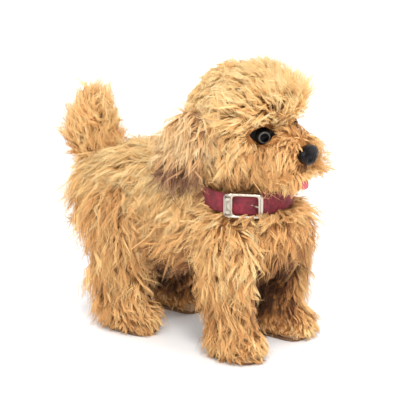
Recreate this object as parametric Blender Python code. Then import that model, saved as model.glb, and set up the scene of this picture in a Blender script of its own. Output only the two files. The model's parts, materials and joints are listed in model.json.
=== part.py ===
"""Interactive plush puppy: a walking toy with a fur coat over a plastic mechanism.

The puppy faces -Y, its left side is +X, and it stands on the plane z = 0.
Lengths are metres.  Soft pieces are solids as large as the combed fur.
"""
import math

import bmesh
import bpy
from mathutils import Matrix, Vector

# ---- overall sizes -------------------------------------------------------
FORWARD_SHIFT = -0.0080        # puts the middle of the whole length on y = 0
GAP = 0.0003                   # space left between two pieces that touch
PLUSH_GAP = 0.0004             # space between the coat and the plastic inside it
RUN_GAP = 0.0010               # space round soft pieces that move

# ---- coat of the body ----------------------------------------------------
BODY_HALF_WIDTH = 0.038
BODY_FRONT_Y = -0.078
BODY_REAR_Y = 0.092
BODY_BOTTOM_Z = 0.0555
BODY_TOP_Z = 0.125
BODY_POWER = 2.6
BODY_CENTRE_Y = (BODY_FRONT_Y + BODY_REAR_Y) / 2
BODY_CENTRE_Z = (BODY_BOTTOM_Z + BODY_TOP_Z) / 2
BODY_HALF_LENGTH = (BODY_REAR_Y - BODY_FRONT_Y) / 2
BODY_HALF_HEIGHT = (BODY_TOP_Z - BODY_BOTTOM_Z) / 2

# ---- plastic torso -------------------------------------------------------
TORSO_HALF_WIDTH = 0.020
TORSO_WALL = 0.0018
TORSO_BOTTOM_Z = 0.062
TORSO_FRONT_TOP_Z = 0.098
TORSO_REAR_TOP_Z = 0.112
TORSO_FRONT_Y = -0.056
TORSO_STEP_Y = -0.006
RUMP_PADDING = 0.030             # fur and filling behind the torso shell
TORSO_REAR_Y = BODY_REAR_Y - RUMP_PADDING
TORSO_CHAMFER = 0.004
TORSO_RUMP_CHAMFER = 0.010

# ---- neck and collar -----------------------------------------------------
NECK_Y = -0.040
NECK_COAT_RADIUS = 0.027
NECK_COAT_TOP_Z = 0.1135
NECK_BEARING_RADIUS = 0.021
NECK_POST_RADIUS = 0.010
NECK_FLANGE_RADIUS = 0.015
NECK_FLANGE_HEIGHT = 0.0025
STRAP_WIDTH = 0.013
STRAP_THICKNESS = 0.0016
STRAP_MID_Z = 0.106
STRAP_INNER_RADIUS = 0.0276
STRAP_START_DEG = 196.0
STRAP_OVERLAP_DEG = 56.0
BUCKLE_DEG = 210.0
BUCKLE_WIDTH = 0.026
BUCKLE_HEIGHT = 0.0172
BUCKLE_THICKNESS = 0.0022
BUCKLE_WINDOW_WIDTH = 0.0165
BUCKLE_WINDOW_HEIGHT = 0.0126
BUCKLE_WINDOW_OFFSET = 0.0013
PRONG_RADIUS = 0.0008
KEEPER_DEG = 236.0
KEEPER_WIDTH = 0.0045
KEEPER_THICKNESS = 0.0012

# ---- head ----------------------------------------------------------------
HEAD_CENTRE = Vector((0.0, -0.032, 0.158))
HEAD_RADII = Vector((0.034, 0.034, 0.037))
MUZZLE_CENTRE = Vector((0.0, -0.066, 0.142))
MUZZLE_RADII = Vector((0.0195, 0.022, 0.016))
HEAD_NECK_RADIUS = 0.018
HEAD_NECK_BOTTOM_Z = 0.1155
SHELL_CENTRE = Vector((0.0, -0.034, 0.152))
SHELL_RADII = Vector((0.022, 0.025, 0.023))
SNOUT_CENTRE = Vector((0.0, -0.062, 0.140))
SNOUT_RADII = Vector((0.0125, 0.0155, 0.0085))
SHELL_WALL = 0.0018
MOUTH_Z = 0.1306
EYE_SPACING = 0.030
EYE_Z = 0.151
EYE_RADIUS = 0.004
EYE_STEM_RADIUS = 0.0013
EYE_STEM_LENGTH = 0.0075
LID_LENGTH = 0.017
LID_HEIGHT = 0.0098
LID_THICKNESS = 0.0008
NOSE_CENTRE = Vector((0.0, -0.0875, 0.1405))
NOSE_RADII = Vector((0.007, 0.0045, 0.0055))
NOSE_STEM_RADIUS = 0.002
JAW_HINGE_Y = -0.0575
JAW_HINGE_Z = 0.1272
JAW_PIN_RADIUS = 0.0016
JAW_HALF_WIDTH = 0.009
JAW_THICKNESS = 0.0022
JAW_FRONT_Y = -0.0790
CHIN_CENTRE = Vector((0.0, -0.0705, 0.1245))
CHIN_RADII = Vector((0.0150, 0.0140, 0.0080))
CHIN_NECK_SPACE = 0.0050
TONGUE_HALF_WIDTH = 0.0042
TONGUE_THICKNESS = 0.0013
TONGUE_FRONT_Y = -0.0860
TONGUE_REAR_Y = -0.0660
EAR_CENTRE = Vector((0.0405, -0.017, 0.1445))
EAR_LENGTH = 0.051
EAR_WIDTH = 0.031
EAR_THICKNESS = 0.0115
EAR_LEAN_DEG = 32.0

# ---- tail ----------------------------------------------------------------
TAIL_AXIS_Z = 0.104
TAIL_ROOT_CENTRE = Vector((0.0, BODY_REAR_Y - 0.004, 0.108))
TAIL_ROOT_RADIUS = 0.013
TAIL_CENTRE = Vector((0.0, BODY_REAR_Y + 0.001, 0.138))
TAIL_RADII = Vector((0.0165, 0.0150, 0.028))
TAIL_HUB_RADIUS = 0.006
TAIL_HUB_START_Y = TORSO_REAR_Y + 0.0013
TAIL_HUB_LENGTH = 0.006
TAIL_HUB_END_Y = TAIL_HUB_START_Y + TAIL_HUB_LENGTH
TAIL_PIN_RADIUS = 0.002
TAIL_ROD_RADIUS = 0.0028
TAIL_ROD_Y = TAIL_CENTRE.y - 0.003
TAIL_ROD_TOP_Z = 0.152

# ---- legs ----------------------------------------------------------------
LEG_CENTRE_X = TORSO_HALF_WIDTH + 0.0070
LEG_SWING_DEG = 10.0
HAUNCH_INNER_X = TORSO_HALF_WIDTH + 0.0012
HAUNCH_THICKNESS = 0.0206
HAUNCH_OUTER_X = HAUNCH_INNER_X + HAUNCH_THICKNESS
FRONT_PIVOT_Y = -0.046
FRONT_PIVOT_Z = 0.077
FRONT_HAUNCH_RADIUS = 0.020
REAR_PIVOT_Y = 0.042
REAR_PIVOT_Z = 0.082
REAR_HAUNCH_RADIUS = 0.024
LEG_HALF_WIDTH = 0.0155
LEG_HALF_DEPTH = 0.0180
ANKLE_HALF_WIDTH = 0.0135
ANKLE_HALF_DEPTH = 0.0145
PAW_HALF_WIDTH = 0.0170
PAW_HALF_DEPTH = 0.0225
PAW_FORWARD = 0.0050
LEG_COLUMN_TOP_Z = 0.054
SOLE_THICKNESS = 0.0024
SOLE_HALF_WIDTH = 0.0110
SOLE_HALF_DEPTH = 0.0175
FOOT_HEIGHT = 0.0055
LEG_HUB_RADIUS = 0.006
LEG_PIN_RADIUS = 0.003
LEG_BAR_WIDTH = 0.006
LEG_BAR_DEPTH = 0.008

# ---- batteries, door, switch ---------------------------------------------
CELL_RADIUS = 0.0071
CELL_LENGTH = 0.0502
CELL_PITCH = 0.0150
BOX_WALL = 0.0012
BOX_REAR_Y = 0.0060
BOX_LENGTH = 0.0560
BOX_HALF_WIDTH = 0.0090
BOX_BOTTOM_Z = 0.0641
BOX_TOP_Z = 0.0956
CONTACT_WIRE_RADIUS = 0.0004
CONTACT_COIL_RADIUS = 0.0030
DOOR_HALF_WIDTH = 0.0090
DOOR_FRONT_Y = -0.0480
DOOR_REAR_Y = 0.0115
DOOR_THICKNESS = 0.0018
DOOR_SCREW_Y = 0.0088
SCREW_HEAD_RADIUS = 0.0024
SCREW_SHANK_RADIUS = 0.0012
SWITCH_Y = 0.0165
SWITCH_HALF_TRAVEL = 0.0018

# ---- drive train ---------------------------------------------------------
MODULE = 0.0006
WHEEL_TEETH = 36
PINION_TEETH = 10
MESH_EASE = 0.00006
GEAR_WIDTH = 0.003
LAYER_ONE_X = 0.009
LAYER_TWO_X = 0.005
LAYER_THREE_X = 0.001
CRANK_Y = 0.020
CRANK_Z = 0.095
SECOND_ANGLE_DEG = 6.0
FIRST_ANGLE_DEG = -6.0
MOTOR_ANGLE_DEG = -79.0
SHAFT_RADIUS = 0.0012
CRANK_DISC_RADIUS = 0.007
CRANK_DISC_THICKNESS = 0.002
CRANK_PIN_RADIUS = 0.0013
MOTOR_RADIUS = 0.0096
MOTOR_LEFT_X = 0.0065
MOTOR_LENGTH = 0.0225
PLATE_THICKNESS = 0.0015
PLATE_LEFT_X = 0.0133
PLATE_RIGHT_X = -0.0002

CRANK_DISTANCE = math.hypot(CRANK_Y - REAR_PIVOT_Y, CRANK_Z - REAR_PIVOT_Z)
CRANK_THROW = CRANK_DISTANCE * math.sin(math.radians(LEG_SWING_DEG))
GEAR_DISTANCE = (WHEEL_TEETH + PINION_TEETH) * MODULE / 2 + MESH_EASE


# ---- modelling helpers ---------------------------------------------------
def clear_scene():
    for item in list(bpy.data.objects):
        bpy.data.objects.remove(item, do_unlink=True)


def new_object(name, verts, faces):
    mesh = bpy.data.meshes.new(name)
    mesh.from_pydata([tuple(v) for v in verts], [], faces)
    bm = bmesh.new()
    bm.from_mesh(mesh)
    bmesh.ops.recalc_face_normals(bm, faces=bm.faces)
    bm.to_mesh(mesh)
    bm.free()
    item = bpy.data.objects.new(name, mesh)
    bpy.context.scene.collection.objects.link(item)
    return item


def bevel_edges(item, width, segments=1, angle_deg=50.0):
    if width <= 0:
        return item
    bm = bmesh.new()
    bm.from_mesh(item.data)
    sharp = []
    for edge in bm.edges:
        if edge.calc_face_angle(0.0) > math.radians(angle_deg):
            sharp.append(edge)
    bmesh.ops.bevel(bm, geom=sharp, offset=width, segments=segments, affect="EDGES", profile=0.5)
    bm.to_mesh(item.data)
    bm.free()
    return item


def box(name, low, high, grow=0.0, bevel=0.0):
    x0, y0, z0 = (value - grow for value in low)
    x1, y1, z1 = (value + grow for value in high)
    verts = [(x, y, z) for x in (x0, x1) for y in (y0, y1) for z in (z0, z1)]
    faces = [(0, 1, 3, 2), (4, 6, 7, 5), (0, 4, 5, 1), (2, 3, 7, 6), (0, 2, 6, 4), (1, 5, 7, 3)]
    return bevel_edges(new_object(name, verts, faces), bevel)


def turned(name, profile, origin, direction, segments=18):
    """Turn (radius, distance) points about the line through origin along direction."""
    spin = Vector((0, 0, 1)).rotation_difference(Vector(direction).normalized()).to_matrix()
    verts = []
    rows = []
    for radius, along in profile:
        if radius <= 0:
            rows.append([len(verts)])
            verts.append(Vector(origin) + spin @ Vector((0, 0, along)))
            continue
        row = []
        for step in range(segments):
            angle = 2 * math.pi * step / segments
            point = Vector((radius * math.cos(angle), radius * math.sin(angle), along))
            row.append(len(verts))
            verts.append(Vector(origin) + spin @ point)
        rows.append(row)
    faces = []
    for first, second in zip(rows, rows[1:]):
        for step in range(segments):
            nxt = (step + 1) % segments
            if len(first) == 1:
                faces.append((first[0], second[step], second[nxt]))
            elif len(second) == 1:
                faces.append((first[step], second[0], first[nxt]))
            else:
                faces.append((first[step], second[step], second[nxt], first[nxt]))
    if len(rows[0]) > 1:
        faces.append(tuple(rows[0]))
    if len(rows[-1]) > 1:
        faces.append(tuple(reversed(rows[-1])))
    return new_object(name, verts, faces)


def rod(name, start, end, radius, grow=0.0, segments=14, bevel=0.0):
    start = Vector(start)
    direction = Vector(end) - start
    length = direction.length
    reach = radius + grow
    if bevel > 0:
        profile = [(reach - bevel, -grow), (reach, bevel - grow)]
        profile += [(reach, length + grow - bevel), (reach - bevel, length + grow)]
    else:
        profile = [(reach, -grow), (reach, length + grow)]
    return turned(name, profile, start, direction, segments)


def tube(name, start, end, outer, inner, segments=24):
    start = Vector(start)
    direction = Vector(end) - start
    length = direction.length
    item = turned(name, [(outer, 0), (outer, length)], start, direction, segments)
    unit = direction.normalized()
    hole = turned("cutter", [(inner, -0.001), (inner, length + 0.001)], start, unit, segments)
    return cut(item, hole)


def rounded(value, power):
    return math.copysign(abs(value) ** (2.0 / power), value)


def egg(name, centre, radii, grow=0.0, power=2.0, across=None, segments=20, rings=10):
    """Superellipsoid with its poles on the X axis; across is the power of its YZ section."""
    across = power if across is None else across
    rx, ry, rz = (value + grow for value in radii)
    verts = [Vector(centre) + Vector((-rx, 0, 0))]
    for ring in range(1, rings):
        lat = -math.pi / 2 + math.pi * ring / rings
        for step in range(segments):
            lon = 2 * math.pi * step / segments
            wide = rounded(math.cos(lat), power)
            point = Vector((rx * rounded(math.sin(lat), power),
                            ry * wide * rounded(math.cos(lon), across),
                            rz * wide * rounded(math.sin(lon), across)))
            verts.append(Vector(centre) + point)
    verts.append(Vector(centre) + Vector((rx, 0, 0)))
    faces = []
    last = len(verts) - 1
    for step in range(segments):
        nxt = (step + 1) % segments
        faces.append((0, 1 + nxt, 1 + step))
        for ring in range(rings - 2):
            low = 1 + ring * segments
            high = low + segments
            faces.append((low + step, low + nxt, high + nxt, high + step))
        top = 1 + (rings - 2) * segments
        faces.append((last, top + step, top + nxt))
    return new_object(name, verts, faces)


def slab(name, outline, axis, low, high, bevel=0.0):
    """Prism: an outline in the plane square to axis, carried from low to high."""
    def place(pair, level):
        first, second = pair
        if axis == "x":
            return (level, first, second)
        if axis == "y":
            return (first, level, second)
        return (first, second, level)
    count = len(outline)
    verts = [place(pair, low) for pair in outline] + [place(pair, high) for pair in outline]
    faces = [tuple(range(count)), tuple(range(2 * count - 1, count - 1, -1))]
    for step in range(count):
        nxt = (step + 1) % count
        faces.append((step, nxt, count + nxt, count + step))
    return bevel_edges(new_object(name, verts, faces), bevel)


def combine(item, other, kind):
    step = item.modifiers.new(kind.lower(), "BOOLEAN")
    step.operation = kind
    step.solver = "EXACT"
    step.object = other
    depsgraph = bpy.context.evaluated_depsgraph_get()
    mesh = bpy.data.meshes.new_from_object(item.evaluated_get(depsgraph))
    item.modifiers.clear()
    old = item.data
    item.data = mesh
    mesh.name = item.name
    bpy.data.meshes.remove(old)
    bpy.data.objects.remove(other, do_unlink=True)
    return item


def cut(item, other):
    return combine(item, other, "DIFFERENCE")


def join(item, other):
    return combine(item, other, "UNION")


def material(name, colour, roughness, metallic=0.0):
    found = bpy.data.materials.new(name)
    found.use_nodes = True
    shader = found.node_tree.nodes["Principled BSDF"]
    shader.inputs["Base Color"].default_value = (*colour, 1.0)
    shader.inputs["Roughness"].default_value = roughness
    shader.inputs["Metallic"].default_value = metallic
    return found


FUR = (0.66, 0.40, 0.18)
FUR_DARK = (0.50, 0.28, 0.14)
EAR_BROWN = (0.42, 0.23, 0.16)
BLACK = (0.012, 0.011, 0.011)
CRIMSON = (0.24, 0.010, 0.022)
SILVER = (0.78, 0.77, 0.74)
STEEL = (0.60, 0.60, 0.60)
IVORY = (0.78, 0.74, 0.64)
GREY = (0.22, 0.22, 0.23)
PINK = (0.80, 0.33, 0.34)


def finish(item, colour, roughness, metallic=0.0, pivot=None, smooth_deg=40.0):
    """Give a piece its own material, smooth its round faces and set its origin."""
    item.data.materials.clear()
    item.data.materials.append(material(item.name + "_material", colour, roughness, metallic))
    item.data.shade_smooth()
    item.data.set_sharp_from_angle(angle=math.radians(smooth_deg))
    if pivot is not None:
        item.data.transform(Matrix.Translation(-Vector(pivot)))
        item.location = Vector(pivot)
    item.location.y += FORWARD_SHIFT
    return item


def mirrored(point, side):
    return Vector((point[0] * side, point[1], point[2]))


# ---- torso ---------------------------------------------------------------
def torso_outline(inset):
    low = TORSO_BOTTOM_Z + inset
    front = TORSO_FRONT_Y + inset
    rear = TORSO_REAR_Y - inset
    step = TORSO_STEP_Y + inset
    front_top = TORSO_FRONT_TOP_Z - inset
    rear_top = TORSO_REAR_TOP_Z - inset
    slope = TORSO_CHAMFER
    rump = TORSO_RUMP_CHAMFER
    outline = [(front + slope, low), (rear - rump, low), (rear, low + rump)]
    outline += [(rear, rear_top - slope), (rear - slope, rear_top), (step, rear_top)]
    outline += [(step, front_top), (front + slope, front_top)]
    outline += [(front, front_top - slope), (front, low + slope)]
    return outline


def torso_half(name, side):
    inner = sorted((side * GAP / 2, side * TORSO_HALF_WIDTH))
    shell = slab(name, torso_outline(0.0), "x", inner[0], inner[1])
    hollow_end = TORSO_HALF_WIDTH - TORSO_WALL
    hollow = sorted((-side * 0.001, side * hollow_end))
    cut(shell, slab("cutter", torso_outline(TORSO_WALL), "x", hollow[0], hollow[1]))
    far = 0.03 * side
    for y, z in ((FRONT_PIVOT_Y, FRONT_PIVOT_Z), (REAR_PIVOT_Y, REAR_PIVOT_Z)):
        cut(shell, rod("cutter", (side * 0.015, y, z), (far, y, z), LEG_PIN_RADIUS + GAP))
    start = (side * 0.015, CRANK_Y, CRANK_Z)
    cut(shell, rod("cutter", start, (far, CRANK_Y, CRANK_Z), SHAFT_RADIUS + GAP))
    hatch_low = (-BOX_HALF_WIDTH + BOX_WALL, BOX_REAR_Y - BOX_LENGTH + BOX_WALL, 0.050)
    hatch_high = (BOX_HALF_WIDTH - BOX_WALL, BOX_REAR_Y - BOX_WALL, BOX_BOTTOM_Z)
    cut(shell, box("cutter", hatch_low, hatch_high))
    slot = SWITCH_HALF_TRAVEL + 0.0024
    cut(shell, box("cutter", (-0.0020, SWITCH_Y - slot, 0.050),
                   (0.0020, SWITCH_Y + slot, 0.0645)))
    screw_start = (0.0, DOOR_SCREW_Y, 0.050)
    screw_end = (0.0, DOOR_SCREW_Y, 0.070)
    cut(shell, rod("cutter", screw_start, screw_end, SCREW_SHANK_RADIUS + GAP))
    neck_start = (0.0, NECK_Y, TORSO_FRONT_TOP_Z - 0.004)
    neck_end = (0.0, NECK_Y, TORSO_FRONT_TOP_Z + 0.004)
    cut(shell, rod("cutter", neck_start, neck_end, NECK_POST_RADIUS + GAP, segments=24))
    tail_start = (0.0, TORSO_REAR_Y - 0.006, TAIL_AXIS_Z)
    tail_end = (0.0, TORSO_REAR_Y + 0.004, TAIL_AXIS_Z)
    cut(shell, rod("cutter", tail_start, tail_end, TAIL_PIN_RADIUS + GAP))
    if side < 0:
        for y, z in SHELL_SCREWS:
            cut(shell, rod("cutter", (-0.015, y, z), (-0.03, y, z), SCREW_SHANK_RADIUS + GAP))
        stem = (TOUCH_X, TOUCH_Y, TORSO_REAR_TOP_Z - 0.005)
        stem_end = (TOUCH_X, TOUCH_Y, TORSO_REAR_TOP_Z + 0.005)
        cut(shell, rod("cutter", stem, stem_end, TOUCH_STEM_RADIUS + GAP))
        for row in range(3):
            y = SPEAKER_Y + (row - 1) * 0.006
            cut(shell, box("cutter", (-0.03, y - 0.001, SPEAKER_Z - 0.007), (-0.015, y + 0.001, SPEAKER_Z + 0.007)))
    return finish(shell, IVORY, 0.42)


SHELL_SCREWS = ((-0.004, 0.068), (0.001, 0.106))
TOUCH_X = -0.008
TOUCH_Y = 0.032
TOUCH_STEM_RADIUS = 0.0015
TOUCH_TRAVEL = 0.0012
TOUCH_BOTTOM_Z = 0.1135
TOUCH_TOP_Z = 0.1150
SPEAKER_Y = -0.030
SPEAKER_Z = 0.080
SPEAKER_RADIUS = 0.011


def shell_screw(name, y, z):
    face = -TORSO_HALF_WIDTH
    head = rod(name, (face - 0.0019, y, z), (face - 0.0003, y, z), SCREW_HEAD_RADIUS, bevel=0.0003)
    join(head, rod("shank", (face - 0.0010, y, z), (face + 0.0070, y, z), SCREW_SHANK_RADIUS))
    cut(head, box("cutter", (face - 0.0030, y - 0.0015, z - 0.0003), (face - 0.0013, y + 0.0015, z + 0.0003)))
    return finish(head, STEEL, 0.35, 1.0)


# ---- electrical pieces ---------------------------------------------------
def battery_box():
    front = BOX_REAR_Y - BOX_LENGTH
    item = box("battery_box", (-BOX_HALF_WIDTH, front, BOX_BOTTOM_Z),
               (BOX_HALF_WIDTH, BOX_REAR_Y, BOX_TOP_Z))
    inner = BOX_HALF_WIDTH - BOX_WALL
    cut(item, box("cutter", (-inner, front + BOX_WALL, 0.055),
                  (inner, BOX_REAR_Y - BOX_WALL, BOX_TOP_Z - BOX_WALL)))
    return finish(item, GREY, 0.5)


def cell_line(level):
    z = BOX_BOTTOM_Z + 0.0004 + CELL_RADIUS + level * CELL_PITCH
    middle = BOX_REAR_Y - BOX_LENGTH / 2
    return middle - CELL_LENGTH / 2, middle + CELL_LENGTH / 2, z


def battery_cell(name, level):
    front, rear, z = cell_line(level)
    turn = 1 if level == 0 else -1
    start = (0.0, front if turn > 0 else rear, z)
    nub = 0.0010
    profile = [(CELL_RADIUS - 0.0006, 0.0), (CELL_RADIUS, 0.0006)]
    profile += [(CELL_RADIUS, CELL_LENGTH - nub - 0.0006), (CELL_RADIUS - 0.0006, CELL_LENGTH - nub)]
    profile += [(0.0027, CELL_LENGTH - nub), (0.0027, CELL_LENGTH)]
    item = turned(name, profile, start, (0, turn, 0), 14)
    return finish(item, (0.10, 0.25, 0.30), 0.3, 0.4)


def coil(name, level):
    """Contact spring between the flat end of a cell and the end wall of the box."""
    front, rear, z = cell_line(level)
    wall_front = BOX_REAR_Y - BOX_LENGTH + BOX_WALL
    wall_rear = BOX_REAR_Y - BOX_WALL
    if level == 0:
        start, end = wall_front + 0.0006, front - 0.0006
    else:
        start, end = wall_rear - 0.0006, rear + 0.0006
    turns, steps, sides = 1.5, 22, 4
    verts = []
    for step in range(steps + 1):
        part = step / steps
        angle = 2 * math.pi * turns * part
        radius = CONTACT_COIL_RADIUS * (1.0 - 0.5 * part)
        centre = Vector((radius * math.cos(angle), start + (end - start) * part,
                         z + radius * math.sin(angle)))
        out = Vector((math.cos(angle), 0, math.sin(angle)))
        for side in range(sides):
            bend = 2 * math.pi * side / sides
            offset = out * math.cos(bend) + Vector((0, 1, 0)) * math.sin(bend)
            verts.append(centre + offset * CONTACT_WIRE_RADIUS)
    faces = [tuple(range(sides)), tuple(range(steps * sides, (steps + 1) * sides))]
    for step in range(steps):
        for side in range(sides):
            nxt = (side + 1) % sides
            low = step * sides
            faces.append((low + side, low + nxt, low + sides + nxt, low + sides + side))
    return finish(new_object(name, verts, faces), STEEL, 0.3, 1.0)


def battery_door():
    top = TORSO_BOTTOM_Z - GAP
    item = box("battery_door", (-DOOR_HALF_WIDTH, DOOR_FRONT_Y, top - DOOR_THICKNESS),
               (DOOR_HALF_WIDTH, DOOR_REAR_Y, top), bevel=0.0005)
    start = (0.0, DOOR_SCREW_Y, 0.05)
    cut(item, rod("cutter", start, (0.0, DOOR_SCREW_Y, 0.07), SCREW_SHANK_RADIUS + GAP))
    for step in range(4):
        y = DOOR_FRONT_Y + 0.004 + step * 0.0022
        cut(item, box("cutter", (-0.004, y, 0.05), (0.004, y + 0.0009, top - DOOR_THICKNESS + 0.0005)))
    return finish(item, GREY, 0.5, pivot=(0.0, (DOOR_FRONT_Y + DOOR_REAR_Y) / 2, top))


def door_screw():
    bottom = TORSO_BOTTOM_Z - GAP - DOOR_THICKNESS - GAP
    item = rod("door_screw", (0.0, DOOR_SCREW_Y, bottom - 0.0014), (0.0, DOOR_SCREW_Y, bottom),
               SCREW_HEAD_RADIUS, bevel=0.0003)
    join(item, rod("shank", (0.0, DOOR_SCREW_Y, bottom - 0.0007),
                   (0.0, DOOR_SCREW_Y, bottom + 0.0060), SCREW_SHANK_RADIUS))
    cut(item, box("cutter", (-0.0015, DOOR_SCREW_Y - 0.0003, bottom - 0.002),
                  (0.0015, DOOR_SCREW_Y + 0.0003, bottom - 0.0009)))
    pivot = (0.0, (DOOR_FRONT_Y + DOOR_REAR_Y) / 2, TORSO_BOTTOM_Z - GAP)
    return finish(item, STEEL, 0.35, 1.0, pivot=pivot)


def power_switch():
    inside = TORSO_BOTTOM_Z + TORSO_WALL + GAP
    item = box("power_switch", (-0.0016, SWITCH_Y - 0.0020, 0.0596),
               (0.0016, SWITCH_Y + 0.0020, inside + 0.0010), bevel=0.0003)
    join(item, box("flange", (-0.0038, SWITCH_Y - 0.0034, inside),
                   (0.0038, SWITCH_Y + 0.0034, inside + 0.0022)))
    return finish(item, BLACK, 0.45, pivot=(0.0, SWITCH_Y, TORSO_BOTTOM_Z))


def speaker():
    back = 0.0024 - TORSO_HALF_WIDTH
    profile = [(SPEAKER_RADIUS, 0.0), (SPEAKER_RADIUS, 0.0020), (0.0080, 0.0042), (0.0055, 0.0044)]
    profile += [(0.0055, 0.0068)]
    item = turned("speaker", profile, (back, SPEAKER_Y, SPEAKER_Z), (1, 0, 0), 16)
    dish = turned("cutter", [(0.0088, -0.001), (0.0088, 0.0006), (0.0025, 0.0022)],
                  (back, SPEAKER_Y, SPEAKER_Z), (1, 0, 0), 14)
    cut(item, dish)
    return finish(item, GREY, 0.55, 0.3)


def circuit_board():
    item = box("circuit_board", (0.0125, -0.036, 0.068), (0.0139, 0.003, 0.094))
    join(item, box("chip", (0.0110, -0.020, 0.076), (0.0128, -0.010, 0.086), bevel=0.0003))
    join(item, rod("can", (0.0128, -0.028, 0.088), (0.0100, -0.028, 0.088), 0.0024))
    join(item, box("plug", (0.0100, -0.005, 0.072), (0.0128, 0.000, 0.079)))
    return finish(item, (0.03, 0.20, 0.08), 0.4)


def microphone():
    y = TORSO_FRONT_Y + TORSO_WALL + GAP
    item = rod("microphone", (0.0, y, 0.089), (0.0, y + 0.0034, 0.089), 0.0030, bevel=0.0004)
    return finish(item, STEEL, 0.4, 0.8)


def touch_button():
    item = box("touch_button", (-0.011, TOUCH_Y - 0.012, TOUCH_BOTTOM_Z),
               (0.011, TOUCH_Y + 0.012, TOUCH_TOP_Z), bevel=0.0005)
    join(item, rod("stem", (TOUCH_X, TOUCH_Y, TOUCH_TOP_Z - 0.0005),
                   (TOUCH_X, TOUCH_Y, TOUCH_SWITCH_TOP_Z + TOUCH_TRAVEL + 0.0001), TOUCH_STEM_RADIUS))
    return finish(item, IVORY, 0.45, pivot=(TOUCH_X, TOUCH_Y, TOUCH_BOTTOM_Z))


TOUCH_SWITCH_TOP_Z = 0.1080


def touch_switch():
    item = box("touch_switch", (-0.0125, TOUCH_Y - 0.004, 0.0995),
               (-0.0035, TOUCH_Y + 0.004, TOUCH_SWITCH_TOP_Z), bevel=0.0003)
    return finish(item, BLACK, 0.5)


# ---- drive train ---------------------------------------------------------
def gear_places():
    """Centres (y, z) of the crank, second, first and motor shafts."""
    crank = Vector((CRANK_Y, CRANK_Z))
    places = [crank]
    for angle in (SECOND_ANGLE_DEG, FIRST_ANGLE_DEG, MOTOR_ANGLE_DEG):
        turn = math.radians(angle)
        step = Vector((math.cos(turn), math.sin(turn))) * GEAR_DISTANCE
        places.append(places[-1] + step)
    return places


def tooth_outline(centre, teeth, tooth_deg):
    """Outline in (y, z) with one tooth pointing along tooth_deg."""
    pitch = 2 * math.pi / teeth
    radius = teeth * MODULE / 2
    marks = ((-0.29, -1.12), (-0.09, 0.78), (0.09, 0.78), (0.29, -1.12))
    points = []
    for tooth in range(teeth):
        middle = math.radians(tooth_deg) + tooth * pitch
        for turn, height in marks:
            reach = radius + height * MODULE
            angle = middle + turn * pitch
            points.append((centre[0] + reach * math.cos(angle), centre[1] + reach * math.sin(angle)))
    return points


def toothed(name, centre, teeth, tooth_deg, left_x):
    outline = tooth_outline(centre, teeth, tooth_deg)
    return slab(name, outline, "x", left_x, left_x + GEAR_WIDTH)


def shaft(name, centre, start_x, end_x, radius=SHAFT_RADIUS):
    return rod(name, (start_x, *centre), (end_x, *centre), radius, segments=12)


def motor_pinion():
    centre = gear_places()[3]
    away = MOTOR_ANGLE_DEG + 180.0
    item = toothed("motor_pinion", centre, PINION_TEETH, away, LAYER_ONE_X)
    join(item, shaft("shaft", centre, MOTOR_LEFT_X + GAP, LAYER_ONE_X + GEAR_WIDTH + 0.0004))
    return finish(item, SILVER, 0.35, 1.0, pivot=(LAYER_ONE_X, *centre))


def drive_gear(name, place, wheel_x, wheel_deg, pinion_x, pinion_deg):
    centre = gear_places()[place]
    half_pitch = 180.0 / WHEEL_TEETH
    item = toothed(name, centre, WHEEL_TEETH, wheel_deg + half_pitch, wheel_x)
    join(item, rod("hub", (pinion_x + GEAR_WIDTH - 0.0001, *centre), (wheel_x + 0.0005, *centre),
                   0.0022, segments=14))
    join(item, toothed("pinion", centre, PINION_TEETH, pinion_deg, pinion_x))
    join(item, shaft("shaft", centre, PLATE_RIGHT_X - PLATE_THICKNESS,
                     PLATE_LEFT_X + PLATE_THICKNESS))
    return finish(item, IVORY, 0.4, pivot=(pinion_x, *centre))


def crank_gear():
    centre = gear_places()[0]
    half_pitch = 180.0 / WHEEL_TEETH
    item = toothed("crank_gear", centre, WHEEL_TEETH, SECOND_ANGLE_DEG + half_pitch, LAYER_THREE_X)
    disc_x = TORSO_HALF_WIDTH + 0.0006
    join(item, shaft("shaft", centre, -disc_x - 0.0010, disc_x + 0.0010))
    for side in (1, -1):
        start = side * disc_x
        end = side * (disc_x + CRANK_DISC_THICKNESS)
        join(item, rod("disc", (start, *centre), (end, *centre), CRANK_DISC_RADIUS, segments=18))
        pin = (centre[0], centre[1] + side * CRANK_THROW)
        join(item, rod("pin", (start + side * 0.001, *pin), (end + side * 0.0013, *pin),
                       CRANK_PIN_RADIUS, segments=14))
    return finish(item, IVORY, 0.4, pivot=(LAYER_THREE_X, *centre))


def motor():
    centre = gear_places()[3]
    right = MOTOR_LEFT_X - MOTOR_LENGTH
    profile = [(0.0030, -0.0012), (0.0030, 0.0), (MOTOR_RADIUS, 0.0)]
    profile += [(MOTOR_RADIUS, MOTOR_LENGTH - 0.0015), (0.0030, MOTOR_LENGTH - 0.0015)]
    profile += [(0.0030, MOTOR_LENGTH)]
    item = turned("motor", profile, (right, *centre), (1, 0, 0), 18)
    return finish(item, SILVER, 0.35, 1.0)


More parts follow.
